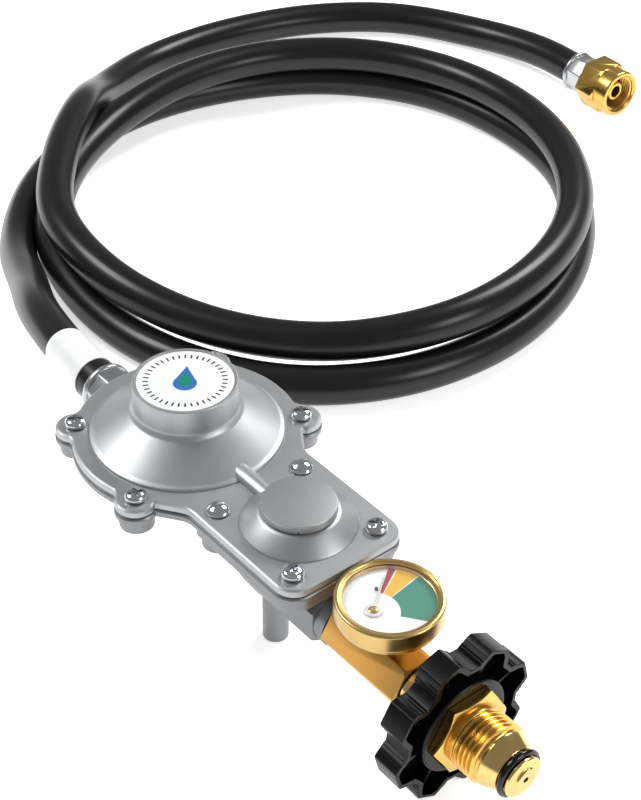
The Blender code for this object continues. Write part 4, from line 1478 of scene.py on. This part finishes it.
@dataclass
class Inner:
    """The solids inside the regulator, which keep their own shapes and get their finishes."""

    steel: tuple[str, ...] = (
        "stage2_spring", "relief_spring", "stage1_spring", "poppet_spring", "excess_flow_spring",
        "stage2_plate", "relief_post", "relief_nut", "stage2_lever", "lever_pin", "stage2_slider",
        "stage2_adjuster", "stage1_adjuster", "stage1_plate", "stage1_button", "stage1_poppet",
        "vent_screen")
    brass: tuple[str, ...] = (
        "stage2_orifice", "stage1_seat", "gauge_tube", "check_seat", "inlet_filter", "excess_flow_poppet")
    rubber: tuple[str, ...] = ("stage2_diaphragm", "stage1_diaphragm", "slider_pad")

    def build(self, nodes: dict[str, bpy.types.Object]) -> None:
        """Give every kept solid its finish.

        Args:
            nodes: The frame's solids by name.
        """
        for names, finish in ((self.steel, STEEL), (self.brass, BRASS), (self.rubber, DIAPHRAGM)):
            material = SHOP.material(finish)
            for name in names:
                solid = nodes[name]
                if not solid.material_slots:
                    solid.data.materials.append(material)
                for slot in solid.material_slots:
                    slot.material = material
            LOG.info("%s goes on %d inner solids", finish.name, len(names))


# ---------------------------------------------------------------------------------------------------
# Studio
# ---------------------------------------------------------------------------------------------------

@dataclass(frozen=True)
class SoftBox:
    """One square area light: where it hangs, what it points at, its side and its power in watts."""

    name: str
    spot: Point3
    target: Point3
    size: float
    power: float

    def build(self) -> None:
        """Add the light."""
        data = bpy.data.lights.new(self.name, "AREA")
        data.size = self.size * MM
        data.energy = self.power
        lamp = bpy.data.objects.new(self.name, data)
        bpy.context.scene.collection.objects.link(lamp)
        aim = (Vector(self.target) - Vector(self.spot)).to_track_quat("-Z", "Y").to_matrix().to_4x4()
        lamp.matrix_world = Matrix.Translation(Vector(self.spot) * MM) @ aim


@dataclass
class Studio:
    """The camera, the floor and the lights; angles are in degrees."""

    eye: Point3 = (343.58, -271.57, 445.75)
    yaw: float = 50.2
    pitch: float = 38.02
    roll: float = 0.81
    lens: float = 78.35
    floor_reach: float = 9000.0
    floor_z: float = -0.15
    floor_glow: float = 0.62
    world_strength: float = 0.30
    lights: tuple[SoftBox, ...] = (
        SoftBox("key", (-700, -350, 900), (-60, 60, 0), 380, 8),
        SoftBox("back", (-250, 900, 800), (-100, 100, 0), 380, 8),
        SoftBox("side", (650, 300, 450), (40, 0, 30), 300, 2.5))

    def camera(self) -> None:
        """Set the camera."""
        data = bpy.data.cameras.new("camera")
        data.lens = self.lens
        data.sensor_width = 36
        data.clip_start = 0.01
        data.clip_end = 20
        camera = bpy.data.objects.new("camera", data)
        bpy.context.scene.collection.objects.link(camera)
        camera.matrix_world = (Matrix.Translation(Vector(self.eye) * MM)
                               @ Matrix.Rotation(math.radians(self.yaw), 4, "Z")
                               @ Matrix.Rotation(math.radians(90 - self.pitch), 4, "X")
                               @ Matrix.Rotation(math.radians(self.roll), 4, "Z"))
        bpy.context.scene.camera = camera

    def floor(self) -> None:
        """Lay a plain white floor."""
        shape = bmesh.new()
        bmesh.ops.create_grid(shape, x_segments=1, y_segments=1, size=self.floor_reach)
        for vert in shape.verts:
            vert.co.z = self.floor_z
        floor = as_object(shape, "floor")
        white = linear("FFFFFF")
        floor.data.materials.append(new_material("white_paper", {
            "Base Color": white, "Roughness": 0.9, "Emission Color": white,
            "Emission Strength": self.floor_glow})[0])

    def build(self) -> None:
        """Set up the studio."""
        self.camera()
        self.floor()
        world = bpy.data.worlds.new("studio")
        world.use_nodes = True
        background = world.node_tree.nodes["Background"]
        background.inputs["Color"].default_value = linear("FFFFFF")
        background.inputs["Strength"].default_value = self.world_strength
        bpy.context.scene.world = world
        bpy.context.scene.view_settings.view_transform = "Standard"
        for light in self.lights:
            light.build()


def main() -> None:
    """Build the finished model round the frame."""
    logging.basicConfig(level=logging.INFO, format="%(name)s: %(message)s")
    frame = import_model()
    Studio().build()
    Hose().build()
    Castings().build()
    Caps().build()
    Screws().build()
    Gauge().build()
    Inlet().build()
    Wheel().build()
    Inner().build(frame["nodes"])


if __name__ == "__main__":
    main()
